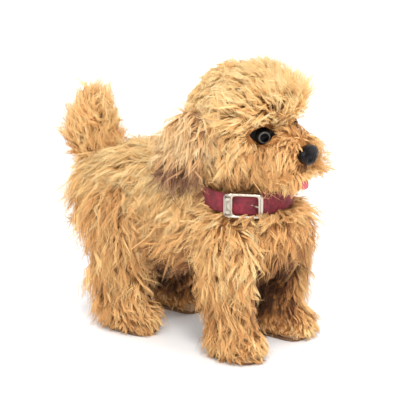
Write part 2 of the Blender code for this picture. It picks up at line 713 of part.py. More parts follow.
def gearbox_plate(name, left_x, with_motor):
    item = slab(name, torso_outline(TORSO_WALL + GAP), "x", left_x - PLATE_THICKNESS, left_x)
    cut(item, box("cutter", (-0.03, -0.06, 0.05), (0.03, BOX_REAR_Y + GAP, 0.12)))
    if with_motor:
        centre = gear_places()[3]
        cut(item, rod("cutter", (-0.01, *centre), (0.01, *centre), MOTOR_RADIUS + GAP, segments=18))
    if not with_motor:
        centre = gear_places()[3]
        cut(item, rod("cutter", (0.01, *centre), (0.02, *centre), SHAFT_RADIUS + GAP))
    for centre in gear_places()[:3]:
        start = (left_x - 0.004, *centre)
        cut(item, rod("cutter", start, (left_x + 0.002, *centre), SHAFT_RADIUS + GAP))
    low = (left_x - 0.004, SWITCH_Y - 0.0065, 0.060)
    cut(item, box("cutter", low, (left_x + 0.002, SWITCH_Y + 0.0065, 0.0680)))
    tail = (0.0, TORSO_REAR_Y - 0.008, TAIL_AXIS_Z)
    tail_end = (0.0, TORSO_REAR_Y, TAIL_AXIS_Z)
    cut(item, rod("cutter", tail, tail_end, TAIL_PIN_RADIUS + 2 * GAP))
    door = (0.0, DOOR_SCREW_Y, 0.06)
    cut(item, rod("cutter", door, (0.0, DOOR_SCREW_Y, 0.0675), SCREW_SHANK_RADIUS + 2 * GAP))
    return finish(item, GREY, 0.45)


# ---- neck, tail and collar -----------------------------------------------
def neck_bearing():
    low = TORSO_FRONT_TOP_Z + GAP
    item = tube("neck_bearing", (0.0, NECK_Y, low), (0.0, NECK_Y, NECK_COAT_TOP_Z - 0.0014),
                NECK_BEARING_RADIUS, NECK_POST_RADIUS + GAP)
    return finish(item, IVORY, 0.42)


def neck_post():
    flange = NECK_COAT_TOP_Z - 0.0014 + GAP
    low = TORSO_FRONT_TOP_Z - TORSO_WALL
    profile = [(NECK_POST_RADIUS, low), (NECK_POST_RADIUS, flange), (NECK_FLANGE_RADIUS, flange)]
    profile += [(NECK_FLANGE_RADIUS, flange + NECK_FLANGE_HEIGHT)]
    profile += [(NECK_POST_RADIUS, flange + NECK_FLANGE_HEIGHT), (NECK_POST_RADIUS, 0.1345)]
    item = turned("neck_post", profile, (0.0, NECK_Y, 0.0), (0, 0, 1), 24)
    hole = turned("cutter", [(0.006, low - 0.001), (0.006, 0.1355)], (0.0, NECK_Y, 0.0), (0, 0, 1), 24)
    cut(item, hole)
    return finish(item, IVORY, 0.42, pivot=(0.0, NECK_Y, flange))


def tail_axle():
    item = rod("tail_axle", (0.0, TORSO_REAR_Y - 0.0045, TAIL_AXIS_Z),
               (0.0, TAIL_HUB_END_Y + 0.0012, TAIL_AXIS_Z), TAIL_PIN_RADIUS)
    return finish(item, STEEL, 0.35, 1.0)


def tail_core_solid(name, grow):
    item = rod(name, (0.0, TAIL_HUB_START_Y, TAIL_AXIS_Z), (0.0, TAIL_HUB_END_Y, TAIL_AXIS_Z),
               TAIL_HUB_RADIUS, grow, segments=24)
    arm_low = (-0.0035, TAIL_HUB_START_Y + 0.0010, TAIL_AXIS_Z - 0.0058)
    arm_high = (0.0035, TAIL_ROD_Y + 0.0025, TAIL_AXIS_Z - 0.0026)
    join(item, box("arm", arm_low, arm_high, grow))
    start = (0.0, TAIL_ROD_Y, TAIL_AXIS_Z - 0.0050)
    join(item, rod("rod", start, (0.0, TAIL_ROD_Y + 0.003, TAIL_ROD_TOP_Z), TAIL_ROD_RADIUS, grow))
    return item


def tail_core():
    item = tail_core_solid("tail_core", 0.0)
    cut(item, rod("cutter", (0.0, TAIL_HUB_START_Y - 0.002, TAIL_AXIS_Z),
                  (0.0, TAIL_HUB_END_Y + 0.002, TAIL_AXIS_Z), TAIL_PIN_RADIUS + GAP))
    return finish(item, IVORY, 0.42, pivot=(0.0, TAIL_HUB_START_Y, TAIL_AXIS_Z))


def tail_plush():
    item = egg("tail_plush", TAIL_CENTRE, TAIL_RADII, segments=18, rings=10)
    join(item, egg("root", TAIL_ROOT_CENTRE, (TAIL_ROOT_RADIUS,) * 3, segments=16, rings=8))
    cut(item, tail_core_solid("cutter", PLUSH_GAP))
    back = (0.0, TAIL_HUB_START_Y - 0.004, TAIL_AXIS_Z)
    cut(item, rod("cutter", back, (0.0, TAIL_HUB_END_Y + 0.0072, TAIL_AXIS_Z),
                  TAIL_HUB_RADIUS + 0.0008, segments=24))
    return finish(item, FUR, 0.95, pivot=(0.0, TAIL_HUB_START_Y, TAIL_AXIS_Z), smooth_deg=60.0)


def ring_point(radius, degrees, z):
    turn = math.radians(degrees)
    return Vector((radius * math.cos(turn), NECK_Y + radius * math.sin(turn), z))


def strap_radius(degrees):
    step = STRAP_THICKNESS + GAP
    return STRAP_INNER_RADIUS + step * (degrees - STRAP_START_DEG) / 360.0


def collar_strap():
    steps = 52
    verts = []
    half = STRAP_WIDTH / 2
    for step in range(steps + 1):
        degrees = STRAP_START_DEG + (360.0 + STRAP_OVERLAP_DEG) * step / steps
        inner = strap_radius(degrees)
        taper = 1.0
        if step == steps:
            taper = 0.5
        for radius, z in ((inner, -half * taper), (inner + STRAP_THICKNESS, -half * taper),
                          (inner + STRAP_THICKNESS, half * taper), (inner, half * taper)):
            verts.append(ring_point(radius, degrees, STRAP_MID_Z + z))
    faces = [(0, 1, 2, 3), tuple(range(4 * steps, 4 * steps + 4))]
    for step in range(steps):
        for side in range(4):
            nxt = (side + 1) % 4
            low = 4 * step
            faces.append((low + side, low + nxt, low + 4 + nxt, low + 4 + side))
    return finish(new_object("collar_strap", verts, faces), CRIMSON, 0.75)


def outer_layer_radius(degrees):
    """Outside of the strap's second turn, or of its first turn before the overlap."""
    return strap_radius(degrees + 360.0) + STRAP_THICKNESS


def buckle_frame(degrees):
    turn = math.radians(degrees)
    out = Vector((math.cos(turn), math.sin(turn), 0))
    along = Vector((-math.sin(turn), math.cos(turn), 0))
    return out, along


def buckle_matrix():
    out, along = buckle_frame(BUCKLE_DEG)
    base = Vector((0.0, NECK_Y, STRAP_MID_Z)) + out * (outer_layer_radius(BUCKLE_DEG) + GAP)
    up = Vector((0, 0, 1))
    spin = Matrix((along, up, out)).transposed()
    return Matrix.Translation(base) @ spin.to_4x4()


def rounded_rectangle(half_width, half_height, radius, offset=0.0):
    points = []
    corners = ((1, 1, 0), (-1, 1, 90), (-1, -1, 180), (1, -1, 270))
    for sx, sy, first in corners:
        for step in range(4):
            turn = math.radians(first + 30 * step)
            x = sx * (half_width - radius) + radius * math.cos(turn)
            y = sy * (half_height - radius) + radius * math.sin(turn)
            points.append((x + offset, y))
    return points


def collar_buckle():
    outline = rounded_rectangle(BUCKLE_WIDTH / 2, BUCKLE_HEIGHT / 2, 0.0034)
    item = slab("collar_buckle", outline, "z", 0.0, BUCKLE_THICKNESS, bevel=0.0005)
    window = rounded_rectangle(BUCKLE_WINDOW_WIDTH / 2, BUCKLE_WINDOW_HEIGHT / 2, 0.0018,
                               BUCKLE_WINDOW_OFFSET)
    cut(item, slab("cutter", window, "z", -0.002, BUCKLE_THICKNESS + 0.002))
    groove = BUCKLE_WINDOW_OFFSET + BUCKLE_WINDOW_WIDTH / 2
    cut(item, box("cutter", (groove - 0.001, -0.0016, BUCKLE_THICKNESS - 0.0010),
                  (groove + 0.0024, 0.0016, BUCKLE_THICKNESS + 0.001)))
    item.data.transform(buckle_matrix())
    return finish(item, SILVER, 0.28, 1.0, smooth_deg=30.0)


def collar_prong():
    left = BUCKLE_WINDOW_OFFSET - BUCKLE_WINDOW_WIDTH / 2
    right = BUCKLE_WINDOW_OFFSET + BUCKLE_WINDOW_WIDTH / 2
    level = BUCKLE_THICKNESS / 2
    item = rod("collar_prong", (left + 0.0016, -0.0022, level), (left + 0.0016, 0.0022, level), 0.0011,
               segments=12)
    join(item, rod("bar", (left + 0.0016, 0, level), (right + 0.0006, 0, level + 0.0012),
                   PRONG_RADIUS, segments=14))
    item.data.transform(buckle_matrix())
    pivot = buckle_matrix() @ Vector((left + 0.0016, 0.0, level))
    return finish(item, SILVER, 0.25, 1.0, pivot=pivot)


def collar_keeper():
    """Loop that holds the strap's free end down."""
    out, along = buckle_frame(KEEPER_DEG)
    inner = strap_radius(KEEPER_DEG) - GAP - KEEPER_THICKNESS
    outer = strap_radius(KEEPER_DEG + 360.0) + STRAP_THICKNESS + GAP + KEEPER_THICKNESS
    half = STRAP_WIDTH / 2 + GAP + KEEPER_THICKNESS
    centre = Vector((0.0, NECK_Y, STRAP_MID_Z))
    spin = Matrix((along, Vector((0, 0, 1)), out)).transposed().to_4x4()
    place = Matrix.Translation(centre) @ spin
    item = box("collar_keeper", (-KEEPER_WIDTH / 2, -half, inner - 0.0002),
               (KEEPER_WIDTH / 2, half, outer + 0.0002), bevel=0.0003)
    low = inner + KEEPER_THICKNESS - 0.0002
    high = outer - KEEPER_THICKNESS + 0.0002
    cut(item, box("cutter", (-0.01, -half + KEEPER_THICKNESS, low),
                  (0.01, half - KEEPER_THICKNESS, high)))
    item.data.transform(place)
    return finish(item, CRIMSON, 0.7)


# ---- head ----------------------------------------------------------------
def head_shell_solid(name, grow):
    item = egg(name, SHELL_CENTRE, SHELL_RADII, grow, segments=16, rings=8)
    join(item, egg("snout", SNOUT_CENTRE, SNOUT_RADII, grow, segments=12, rings=6))
    return item


def head_half(name, side):
    item = head_shell_solid(name, 0.0)
    cut(item, head_shell_solid("cutter", -SHELL_WALL))
    far = sorted((-side * 0.06, side * GAP / 2))
    cut(item, box("cutter", (far[0], -0.12, 0.08), (far[1], 0.05, 0.22)))
    cut(item, rod("cutter", (0.0, NECK_Y, 0.12), (0.0, NECK_Y, 0.139), NECK_POST_RADIUS + GAP,
                  segments=24))
    out, centre = eye_place(side)
    cut(item, rod("cutter", centre - out * 0.013, centre, EYE_STEM_RADIUS + GAP, segments=12))
    nose_back = (0.0, NOSE_CENTRE.y + 0.020, NOSE_CENTRE.z)
    cut(item, rod("cutter", nose_back, NOSE_CENTRE, NOSE_STEM_RADIUS + GAP, segments=12))
    return finish(item, IVORY, 0.42)


def eye_place(side):
    """Outward direction and centre of the bead, on the surface of the head."""
    x = EYE_SPACING / 2
    across = (x / HEAD_RADII.x) ** 2
    up = ((EYE_Z - HEAD_CENTRE.z) / HEAD_RADII.z) ** 2
    y = HEAD_CENTRE.y - HEAD_RADII.y * math.sqrt(1.0 - across - up)
    out = Vector((x / HEAD_RADII.x ** 2, (y - HEAD_CENTRE.y) / HEAD_RADII.y ** 2,
                  (EYE_Z - HEAD_CENTRE.z) / HEAD_RADII.z ** 2)).normalized()
    return mirrored(out, side), mirrored((x, y, EYE_Z), side)


def eye_solid(name, side, grow):
    out, centre = eye_place(side)
    reach = EYE_RADIUS + grow
    profile = [(EYE_STEM_RADIUS + grow, -EYE_STEM_LENGTH - grow)]
    first = math.asin((EYE_STEM_RADIUS + grow) / reach)
    profile.append((EYE_STEM_RADIUS + grow, -reach * math.cos(first)))
    steps = 6
    for step in range(1, steps):
        turn = first + (math.pi - first) * step / steps
        profile.append((reach * math.sin(turn), -reach * math.cos(turn)))
    profile.append((0.0, reach))
    return turned(name, profile, centre, out, 12)


def lid_matrix(side):
    out, centre = eye_place(side)
    along = Vector((0, 0, 1)).cross(out).normalized()
    tilt = Matrix.Rotation(math.radians(side * 12.0), 3, out)
    along = tilt @ along
    up = out.cross(along)
    return Matrix.Translation(centre + out * 0.0004) @ Matrix((along, up, out)).transposed().to_4x4()


def lid_outline(grow):
    points = []
    count = 16
    for step in range(count):
        turn = 2 * math.pi * step / count
        x = (LID_LENGTH / 2 + grow) * math.copysign(abs(math.cos(turn)) ** 0.8, math.cos(turn))
        y = (LID_HEIGHT / 2 + grow) * math.copysign(abs(math.sin(turn)) ** 1.25, math.sin(turn))
        points.append((x, y))
    return points


def eyelid(name, side):
    item = slab(name, lid_outline(0.0), "z", 0.0, LID_THICKNESS)
    item.data.transform(lid_matrix(side))
    cut(item, eye_solid("cutter", side, GAP))
    return finish(item, BLACK, 0.9)


def nose_solid(name, grow):
    item = egg(name, NOSE_CENTRE, NOSE_RADII, grow, power=2.4, segments=14, rings=8)
    back = (0.0, NOSE_CENTRE.y + 0.0140, NOSE_CENTRE.z)
    join(item, rod("stem", (0.0, NOSE_CENTRE.y, NOSE_CENTRE.z), back, NOSE_STEM_RADIUS, grow,
                   segments=12))
    return item


def jaw_bar_solid(name, grow):
    low = (-JAW_HALF_WIDTH, JAW_FRONT_Y, JAW_HINGE_Z - JAW_THICKNESS / 2)
    high = (JAW_HALF_WIDTH, JAW_HINGE_Y, JAW_HINGE_Z + JAW_THICKNESS / 2)
    item = box(name, low, high, grow)
    start = (-JAW_HALF_WIDTH - 0.001, JAW_HINGE_Y, JAW_HINGE_Z)
    end = (JAW_HALF_WIDTH + 0.001, JAW_HINGE_Y, JAW_HINGE_Z)
    join(item, rod("barrel", start, end, JAW_PIN_RADIUS, grow, segments=12))
    return item


def tongue_solid(name, grow):
    low = JAW_HINGE_Z + JAW_THICKNESS / 2 + GAP
    width = TONGUE_HALF_WIDTH + grow
    points = []
    for step in range(9):
        turn = math.pi + math.pi * step / 8
        y = TONGUE_FRONT_Y + TONGUE_HALF_WIDTH + width * math.sin(turn)
        points.append((width * math.cos(turn), y))
    points += [(width, TONGUE_REAR_Y + grow), (-width, TONGUE_REAR_Y + grow)]
    return slab(name, points, "z", low - grow, low + TONGUE_THICKNESS + grow)


def jaw_pivot():
    return (0.0, JAW_HINGE_Y, JAW_HINGE_Z)


def chin_plush():
    item = egg("chin_plush", CHIN_CENTRE, CHIN_RADII, segments=18, rings=8)
    top = JAW_HINGE_Z + JAW_THICKNESS / 2 + GAP + TONGUE_THICKNESS
    cut(item, box("cutter", (-0.03, -0.11, top), (0.03, -0.03, 0.15)))
    cut(item, rod("cutter", (0.0, NECK_Y, 0.10), (0.0, NECK_Y, 0.14),
                  HEAD_NECK_RADIUS + CHIN_NECK_SPACE, segments=24))
    cut(item, jaw_bar_solid("cutter", GAP))
    cut(item, tongue_solid("cutter", GAP))
    return finish(item, FUR, 0.95, pivot=jaw_pivot(), smooth_deg=60.0)


def ear(name, side):
    item = egg(name, (0, 0, 0), (EAR_THICKNESS / 2, EAR_WIDTH / 2, EAR_LENGTH / 2), power=2.2,
               segments=16, rings=8)
    item.data.transform(Matrix.Rotation(math.radians(EAR_LEAN_DEG), 4, "X"))
    item.data.transform(Matrix.Translation(mirrored(EAR_CENTRE, side)))
    cut(item, egg("cutter", HEAD_CENTRE, HEAD_RADII, GAP, segments=20, rings=12))
    return finish(item, EAR_BROWN, 0.95, smooth_deg=60.0)


def head_plush():
    item = egg("head_plush", HEAD_CENTRE, HEAD_RADII, segments=20, rings=12)
    join(item, egg("muzzle", MUZZLE_CENTRE, MUZZLE_RADII, segments=16, rings=8))
    join(item, rod("neck", (0.0, NECK_Y, HEAD_NECK_BOTTOM_Z), (0.0, NECK_Y, 0.135),
                   HEAD_NECK_RADIUS, segments=24))
    low = (0.0, NECK_Y, 0.11)
    cut(item, rod("cutter", low, (0.0, NECK_Y, 0.139), NECK_FLANGE_RADIUS + PLUSH_GAP, segments=24))
    cut(item, box("cutter", (-0.0165, -0.100, 0.110), (0.0165, JAW_HINGE_Y - 0.0050, MOUTH_Z)))
    cut(item, box("cutter", (-0.0115, JAW_HINGE_Y - 0.006, 0.110),
                  (0.0115, JAW_HINGE_Y + 0.0030, MOUTH_Z)))
    cut(item, head_shell_solid("cutter", PLUSH_GAP))
    for side in (1, -1):
        cut(item, eye_solid("cutter", side, GAP))
        patch = slab("cutter", lid_outline(GAP), "z", -GAP, 0.006)
        patch.data.transform(lid_matrix(side))
        cut(item, patch)
    cut(item, nose_solid("cutter", GAP))
    return finish(item, FUR, 0.95, smooth_deg=60.0)


# ---- legs ----------------------------------------------------------------
def leg_numbers(front):
    if front:
        return FRONT_PIVOT_Y, FRONT_PIVOT_Z, FRONT_HAUNCH_RADIUS
    return REAR_PIVOT_Y, REAR_PIVOT_Z, REAR_HAUNCH_RADIUS


def leg_core_solid(name, side, front, grow):
    pivot_y, pivot_z, _ = leg_numbers(front)
    hub_start = TORSO_HALF_WIDTH + 0.0006
    hub_end = LEG_CENTRE_X + LEG_BAR_WIDTH / 2
    item = rod(name, (side * hub_start, pivot_y, pivot_z), (side * hub_end, pivot_y, pivot_z),
               LEG_HUB_RADIUS, grow, segments=18)
    pin_start = TORSO_HALF_WIDTH - TORSO_WALL - 0.0015
    join(item, rod("pin", (side * pin_start, pivot_y, pivot_z),
                   (side * (hub_start + 0.002), pivot_y, pivot_z), LEG_PIN_RADIUS, grow, segments=14))
    foot_low = SOLE_THICKNESS + GAP
    bar_x = sorted((side * (LEG_CENTRE_X - LEG_BAR_WIDTH / 2), side * hub_end))
    join(item, box("bar", (bar_x[0], pivot_y - LEG_BAR_DEPTH / 2, foot_low + 0.001),
                   (bar_x[1], pivot_y + LEG_BAR_DEPTH / 2, pivot_z), grow))
    foot_x = sorted((side * (LEG_CENTRE_X - SOLE_HALF_WIDTH + 0.001),
                     side * (LEG_CENTRE_X + SOLE_HALF_WIDTH - 0.001)))
    middle = pivot_y - PAW_FORWARD
    join(item, box("foot", (foot_x[0], middle - SOLE_HALF_DEPTH + 0.001, foot_low),
                   (foot_x[1], middle + SOLE_HALF_DEPTH - 0.001, foot_low + FOOT_HEIGHT), grow))
    return item


def lever_solid(name, side, grow):
    """Arm of a rear leg that reaches over the crank pin."""
    reach = CRANK_DISTANCE + CRANK_THROW + 0.0035
    half = 0.0035 + grow
    outline = [(-0.002, -half), (reach + grow, -half), (reach + grow, half), (-0.002, half)]
    turn = math.atan2(CRANK_Z - REAR_PIVOT_Z, CRANK_Y - REAR_PIVOT_Y)
    placed = []
    for along, across in outline:
        y = REAR_PIVOT_Y + along * math.cos(turn) - across * math.sin(turn)
        z = REAR_PIVOT_Z + along * math.sin(turn) + across * math.cos(turn)
        placed.append((y, z))
    levels = sorted((side * (LEVER_INNER_X - grow), side * (LEVER_OUTER_X + grow)))
    return slab(name, placed, "x", levels[0], levels[1])


LEVER_INNER_X = TORSO_HALF_WIDTH + 0.0045
LEVER_OUTER_X = LEVER_INNER_X + 0.0020


def slot_outline():
    turn = math.atan2(CRANK_Z - REAR_PIVOT_Z, CRANK_Y - REAR_PIVOT_Y)
    width = CRANK_PIN_RADIUS + GAP
    points = []
    for along, across in ((CRANK_DISTANCE - CRANK_THROW - width, -width),
                          (CRANK_DISTANCE + CRANK_THROW + width, -width),
                          (CRANK_DISTANCE + CRANK_THROW + width, width),
                          (CRANK_DISTANCE - CRANK_THROW - width, width)):
        y = REAR_PIVOT_Y + along * math.cos(turn) - across * math.sin(turn)
        z = REAR_PIVOT_Z + along * math.sin(turn) + across * math.cos(turn)
        points.append((y, z))
    return points


def leg_pivot(side, front):
    pivot_y, pivot_z, _ = leg_numbers(front)
    return (side * LEG_CENTRE_X, pivot_y, pivot_z)


def leg_core(name, side, front):
    item = leg_core_solid(name, side, front, 0.0)
    if not front:
        join(item, lever_solid("lever", side, 0.0))
        levels = sorted((side * 0.020, side * 0.032))
        cut(item, slab("cutter", slot_outline(), "x", levels[0], levels[1]))
    return finish(item, IVORY, 0.42, pivot=leg_pivot(side, front))


def paw_sole(name, side, front):
    pivot_y, _, _ = leg_numbers(front)
    outline = []
    for x, y in rounded_rectangle(SOLE_HALF_WIDTH, SOLE_HALF_DEPTH, 0.0085):
        outline.append((side * LEG_CENTRE_X + x, pivot_y - PAW_FORWARD + y))
    item = slab(name, outline, "z", 0.0, SOLE_THICKNESS, bevel=0.0005)
    return finish(item, (0.05, 0.045, 0.04), 0.85, pivot=leg_pivot(side, front))


def column_rows():
    """Height, half width, half depth and forward shift of the leg, from the paw up."""
    foot = SOLE_THICKNESS + 2 * GAP
    return ((foot, 0.72, 0.74, 1.0), (foot + 0.003, 0.93, 0.93, 1.0), (foot + 0.008, 1.0, 1.0, 1.0),
            (foot + 0.014, 0.92, 0.90, 0.8))


def leg_column(name, side, front):
    pivot_y, _, _ = leg_numbers(front)
    rows = []
    for z, wide, deep, ahead in column_rows():
        rows.append((z, PAW_HALF_WIDTH * wide, PAW_HALF_DEPTH * deep, PAW_FORWARD * ahead))
    rows.append((0.0245, ANKLE_HALF_WIDTH, ANKLE_HALF_DEPTH, PAW_FORWARD * 0.2))
    rows.append((0.034, (ANKLE_HALF_WIDTH + LEG_HALF_WIDTH) / 2,
                 (ANKLE_HALF_DEPTH + LEG_HALF_DEPTH) / 2, 0.0))
    rows.append((0.044, LEG_HALF_WIDTH, LEG_HALF_DEPTH, 0.0))
    rows.append((LEG_COLUMN_TOP_Z - 0.0025, LEG_HALF_WIDTH * 0.94, LEG_HALF_DEPTH * 0.97, 0.0))
    rows.append((LEG_COLUMN_TOP_Z, LEG_HALF_WIDTH * 0.78, LEG_HALF_DEPTH * 0.88, 0.0))
    count = 14
    verts = []
    for z, half_width, half_depth, ahead in rows:
        for step in range(count):
            turn = 2 * math.pi * step / count
            verts.append((side * LEG_CENTRE_X + half_width * math.cos(turn),
                          pivot_y - ahead + half_depth * math.sin(turn), z))
    faces = [tuple(range(count)), tuple(range((len(rows) - 1) * count, len(rows) * count))]
    for row in range(len(rows) - 1):
        for step in range(count):
            nxt = (step + 1) % count
            low = row * count
            faces.append((low + step, low + nxt, low + count + nxt, low + count + step))
    return new_object(name, verts, faces)


def leg_plush(name, side, front):
    pivot_y, pivot_z, radius = leg_numbers(front)
    middle_x = (HAUNCH_INNER_X + HAUNCH_OUTER_X) / 2
    half_x = (HAUNCH_OUTER_X - HAUNCH_INNER_X) / 2
    item = leg_column(name, side, front)
    low = LEG_COLUMN_TOP_Z - 0.008
    thigh = []
    wide = radius * 0.86
    for y, z in ((-wide, pivot_z - 0.004), (-LEG_HALF_DEPTH * 0.94, low), (LEG_HALF_DEPTH * 0.94, low),
                 (wide, pivot_z - 0.004)):
        thigh.append((pivot_y + y, z))
    levels = sorted((side * (HAUNCH_INNER_X + 0.0006), side * (HAUNCH_OUTER_X - 0.0020)))
    join(item, slab("thigh", thigh, "x", levels[0], levels[1], bevel=0.0030))
    join(item, egg("haunch", (side * middle_x, pivot_y, pivot_z), (half_x, radius, radius), power=2.8,
                   across=2.0, segments=18, rings=6))
    cut(item, leg_core_solid("cutter", side, front, GAP))
    if not front:
        cut(item, lever_solid("cutter", side, GAP))
        start = (side * (TORSO_HALF_WIDTH - 0.0010), CRANK_Y, CRANK_Z)
        cut(item, rod("cutter", start, (side * (LEVER_INNER_X + 0.0001), CRANK_Y, CRANK_Z),
                      CRANK_DISC_RADIUS + 0.0055, segments=24))
    return finish(item, FUR_DARK if front else FUR, 0.95, pivot=leg_pivot(side, front), smooth_deg=60.0)


# ---- coat of the body ----------------------------------------------------
def leg_pocket(side, front):
    pivot_y, pivot_z, radius = leg_numbers(front)
    reach = radius + RUN_GAP
    wide = radius + 0.0035
    points = [(pivot_y + wide, pivot_z - 0.002)]
    steps = 12
    for step in range(steps + 1):
        turn = math.pi * step / steps
        points.append((pivot_y + reach * math.cos(turn), pivot_z + reach * math.sin(turn)))
    points.append((pivot_y - wide, pivot_z - 0.002))
    points.append((pivot_y - wide, 0.040))
    points.append((pivot_y + wide, 0.040))
    levels = sorted((side * (TORSO_HALF_WIDTH - 0.001), side * 0.070))
    return slab("cutter", points, "x", levels[0], levels[1])


def body_plush():
    centre = (0.0, BODY_CENTRE_Y, BODY_CENTRE_Z)
    item = egg("body_plush", centre, (BODY_HALF_WIDTH, BODY_HALF_LENGTH, BODY_HALF_HEIGHT),
               power=BODY_POWER, segments=24, rings=14)
    join(item, rod("neck", (0.0, NECK_Y, 0.090), (0.0, NECK_Y, NECK_COAT_TOP_Z), NECK_COAT_RADIUS,
                   segments=24))
    above = turned("cutter", [(0.044, NECK_COAT_TOP_Z), (0.044, 0.140)], (0.0, NECK_Y, 0.0), (0, 0, 1), 28)
    cut(item, above)
    half = STRAP_WIDTH / 2 + 0.0006
    groove = turned("cutter", [(0.0372, STRAP_MID_Z - half), (0.0372, STRAP_MID_Z + half)],
                    (0.0, NECK_Y, 0.0), (0, 0, 1), 28)
    core = turned("cutter", [(STRAP_INNER_RADIUS - 0.0003, 0.05), (STRAP_INNER_RADIUS - 0.0003, 0.15)],
                  (0.0, NECK_Y, 0.0), (0, 0, 1), 28)
    cut(groove, core)
    cut(item, groove)
    buckle = box("cutter", (-BUCKLE_WIDTH / 2 - 0.001, -BUCKLE_HEIGHT / 2 - 0.001, -0.0028),
                 (BUCKLE_WIDTH / 2 + 0.001, BUCKLE_HEIGHT / 2 + 0.001, 0.0090))
    buckle.data.transform(buckle_matrix())
    cut(item, buckle)
    out, along = buckle_frame(KEEPER_DEG)
    spin = Matrix((along, Vector((0, 0, 1)), out)).transposed().to_4x4()
    keeper = box("cutter", (-KEEPER_WIDTH / 2 - GAP, -STRAP_WIDTH / 2 - 0.0022, 0.0255),
                 (KEEPER_WIDTH / 2 + GAP, STRAP_WIDTH / 2 + 0.0022, 0.0420))
    keeper.data.transform(Matrix.Translation(Vector((0.0, NECK_Y, STRAP_MID_Z))) @ spin)
    cut(item, keeper)
    wide = TORSO_HALF_WIDTH + PLUSH_GAP
    cut(item, slab("cutter", torso_outline(-PLUSH_GAP), "x", -wide, wide))
    cut(item, rod("cutter", (0.0, NECK_Y, 0.09), (0.0, NECK_Y, 0.12), NECK_BEARING_RADIUS + PLUSH_GAP,
                  segments=24))
    cut(item, box("cutter", (-0.0118, TOUCH_Y - 0.0128, 0.110), (0.0118, TOUCH_Y + 0.0128, 0.1154)))
    for y, z in SHELL_SCREWS:
        cut(item, rod("cutter", (-TORSO_HALF_WIDTH - 0.0025, y, z), (-TORSO_HALF_WIDTH + 0.0010, y, z),
                      SCREW_HEAD_RADIUS + PLUSH_GAP))
    for side in (1, -1):
        for front in (True, False):
            cut(item, leg_pocket(side, front))
            pivot_y, _, radius = leg_numbers(front)
            levels = sorted((side * (LEG_CENTRE_X - 0.0170), side * (LEG_CENTRE_X + 0.0030)))
            cut(item, box("cutter", (levels[0], pivot_y - radius - 0.0035, 0.040),
                          (levels[1], pivot_y + radius + 0.0035, 0.0630)))
        levels = sorted((side * (TORSO_HALF_WIDTH - 0.0010), side * (LEG_CENTRE_X + 0.0020)))
        cut(item, box("cutter", (levels[0], 0.0060, 0.0820), (levels[1], REAR_PIVOT_Y, 0.1070)))
    cut(item, box("cutter", (-0.0104, DOOR_FRONT_Y - 0.0054, 0.040), (0.0104, 0.0230, 0.0630)))
    low = TAIL_AXIS_Z - TAIL_HUB_RADIUS - 0.0020
    cut(item, box("cutter", (-0.0100, TORSO_REAR_Y - 0.0020, low), (0.0100, BODY_REAR_Y - 0.0070, 0.1400)))
    cut(item, egg("cutter", TAIL_ROOT_CENTRE, (TAIL_ROOT_RADIUS + 0.0035, TAIL_ROOT_RADIUS + 0.0012,
                                               TAIL_ROOT_RADIUS + 0.0022), segments=24, rings=12))
    return finish(item, FUR, 0.95, smooth_deg=60.0)


# ---- assembly ------------------------------------------------------------
def build_body():
    body_plush()
    torso_half("torso_shell_left", 1)
    torso_half("torso_shell_right", -1)
    shell_screw("shell_screw_lower", *SHELL_SCREWS[0])
    shell_screw("shell_screw_upper", *SHELL_SCREWS[1])
    battery_box()
    battery_cell("battery_cell_lower", 0)
    battery_cell("battery_cell_upper", 1)
    coil("contact_spring_lower", 0)
    coil("contact_spring_upper", 1)
    battery_door()
    door_screw()
    power_switch()
    speaker()
    circuit_board()
    microphone()
    touch_button()
    touch_switch()
    motor()
    gearbox_plate("gearbox_plate_left", PLATE_LEFT_X + PLATE_THICKNESS, False)
    gearbox_plate("gearbox_plate_right", PLATE_RIGHT_X, True)


def build_drive():
    motor_pinion()
    drive_gear("first_gear", 2, LAYER_ONE_X, MOTOR_ANGLE_DEG, LAYER_TWO_X, FIRST_ANGLE_DEG + 180.0)
    drive_gear("second_gear", 1, LAYER_TWO_X, FIRST_ANGLE_DEG, LAYER_THREE_X,
               SECOND_ANGLE_DEG + 180.0)
    crank_gear()


def build_neck():
    neck_bearing()
    neck_post()
    collar_strap()
    collar_buckle()
    collar_prong()
    collar_keeper()


def build_head():
    head_plush()
    head_half("head_shell_left", 1)
    head_half("head_shell_right", -1)
    for side, label in ((1, "left"), (-1, "right")):
        finish(eye_solid("eye_" + label, side, 0.0), BLACK, 0.06)
        eyelid("eyelid_" + label, side)
        ear("ear_" + label, side)
    finish(nose_solid("nose", 0.0), BLACK, 0.25)
    finish(jaw_bar_solid("jaw_bar", 0.0), IVORY, 0.42, pivot=jaw_pivot())
    finish(tongue_solid("tongue", 0.0), PINK, 0.7, pivot=jaw_pivot())
    chin_plush()


def build_tail():
    tail_axle()
    tail_core()
    tail_plush()


def build_legs():
    for front, end in ((True, "front"), (False, "rear")):
        for side, label in ((1, "left"), (-1, "right")):
            tag = end + "_" + label
            leg_plush("leg_plush_" + tag, side, front)
            leg_core("leg_core_" + tag, side, front)
            paw_sole("paw_sole_" + tag, side, front)


def main():
    clear_scene()
    build_body()
    build_drive()
    build_neck()
    build_head()
    build_tail()
    build_legs()


main()
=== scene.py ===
"""Looks of the walking plush puppy: coat, face, collar, paws and lighting.

The puppy faces -Y, its left side is +X and it stands on z = 0.  Metres throughout.
"""
import json
import math

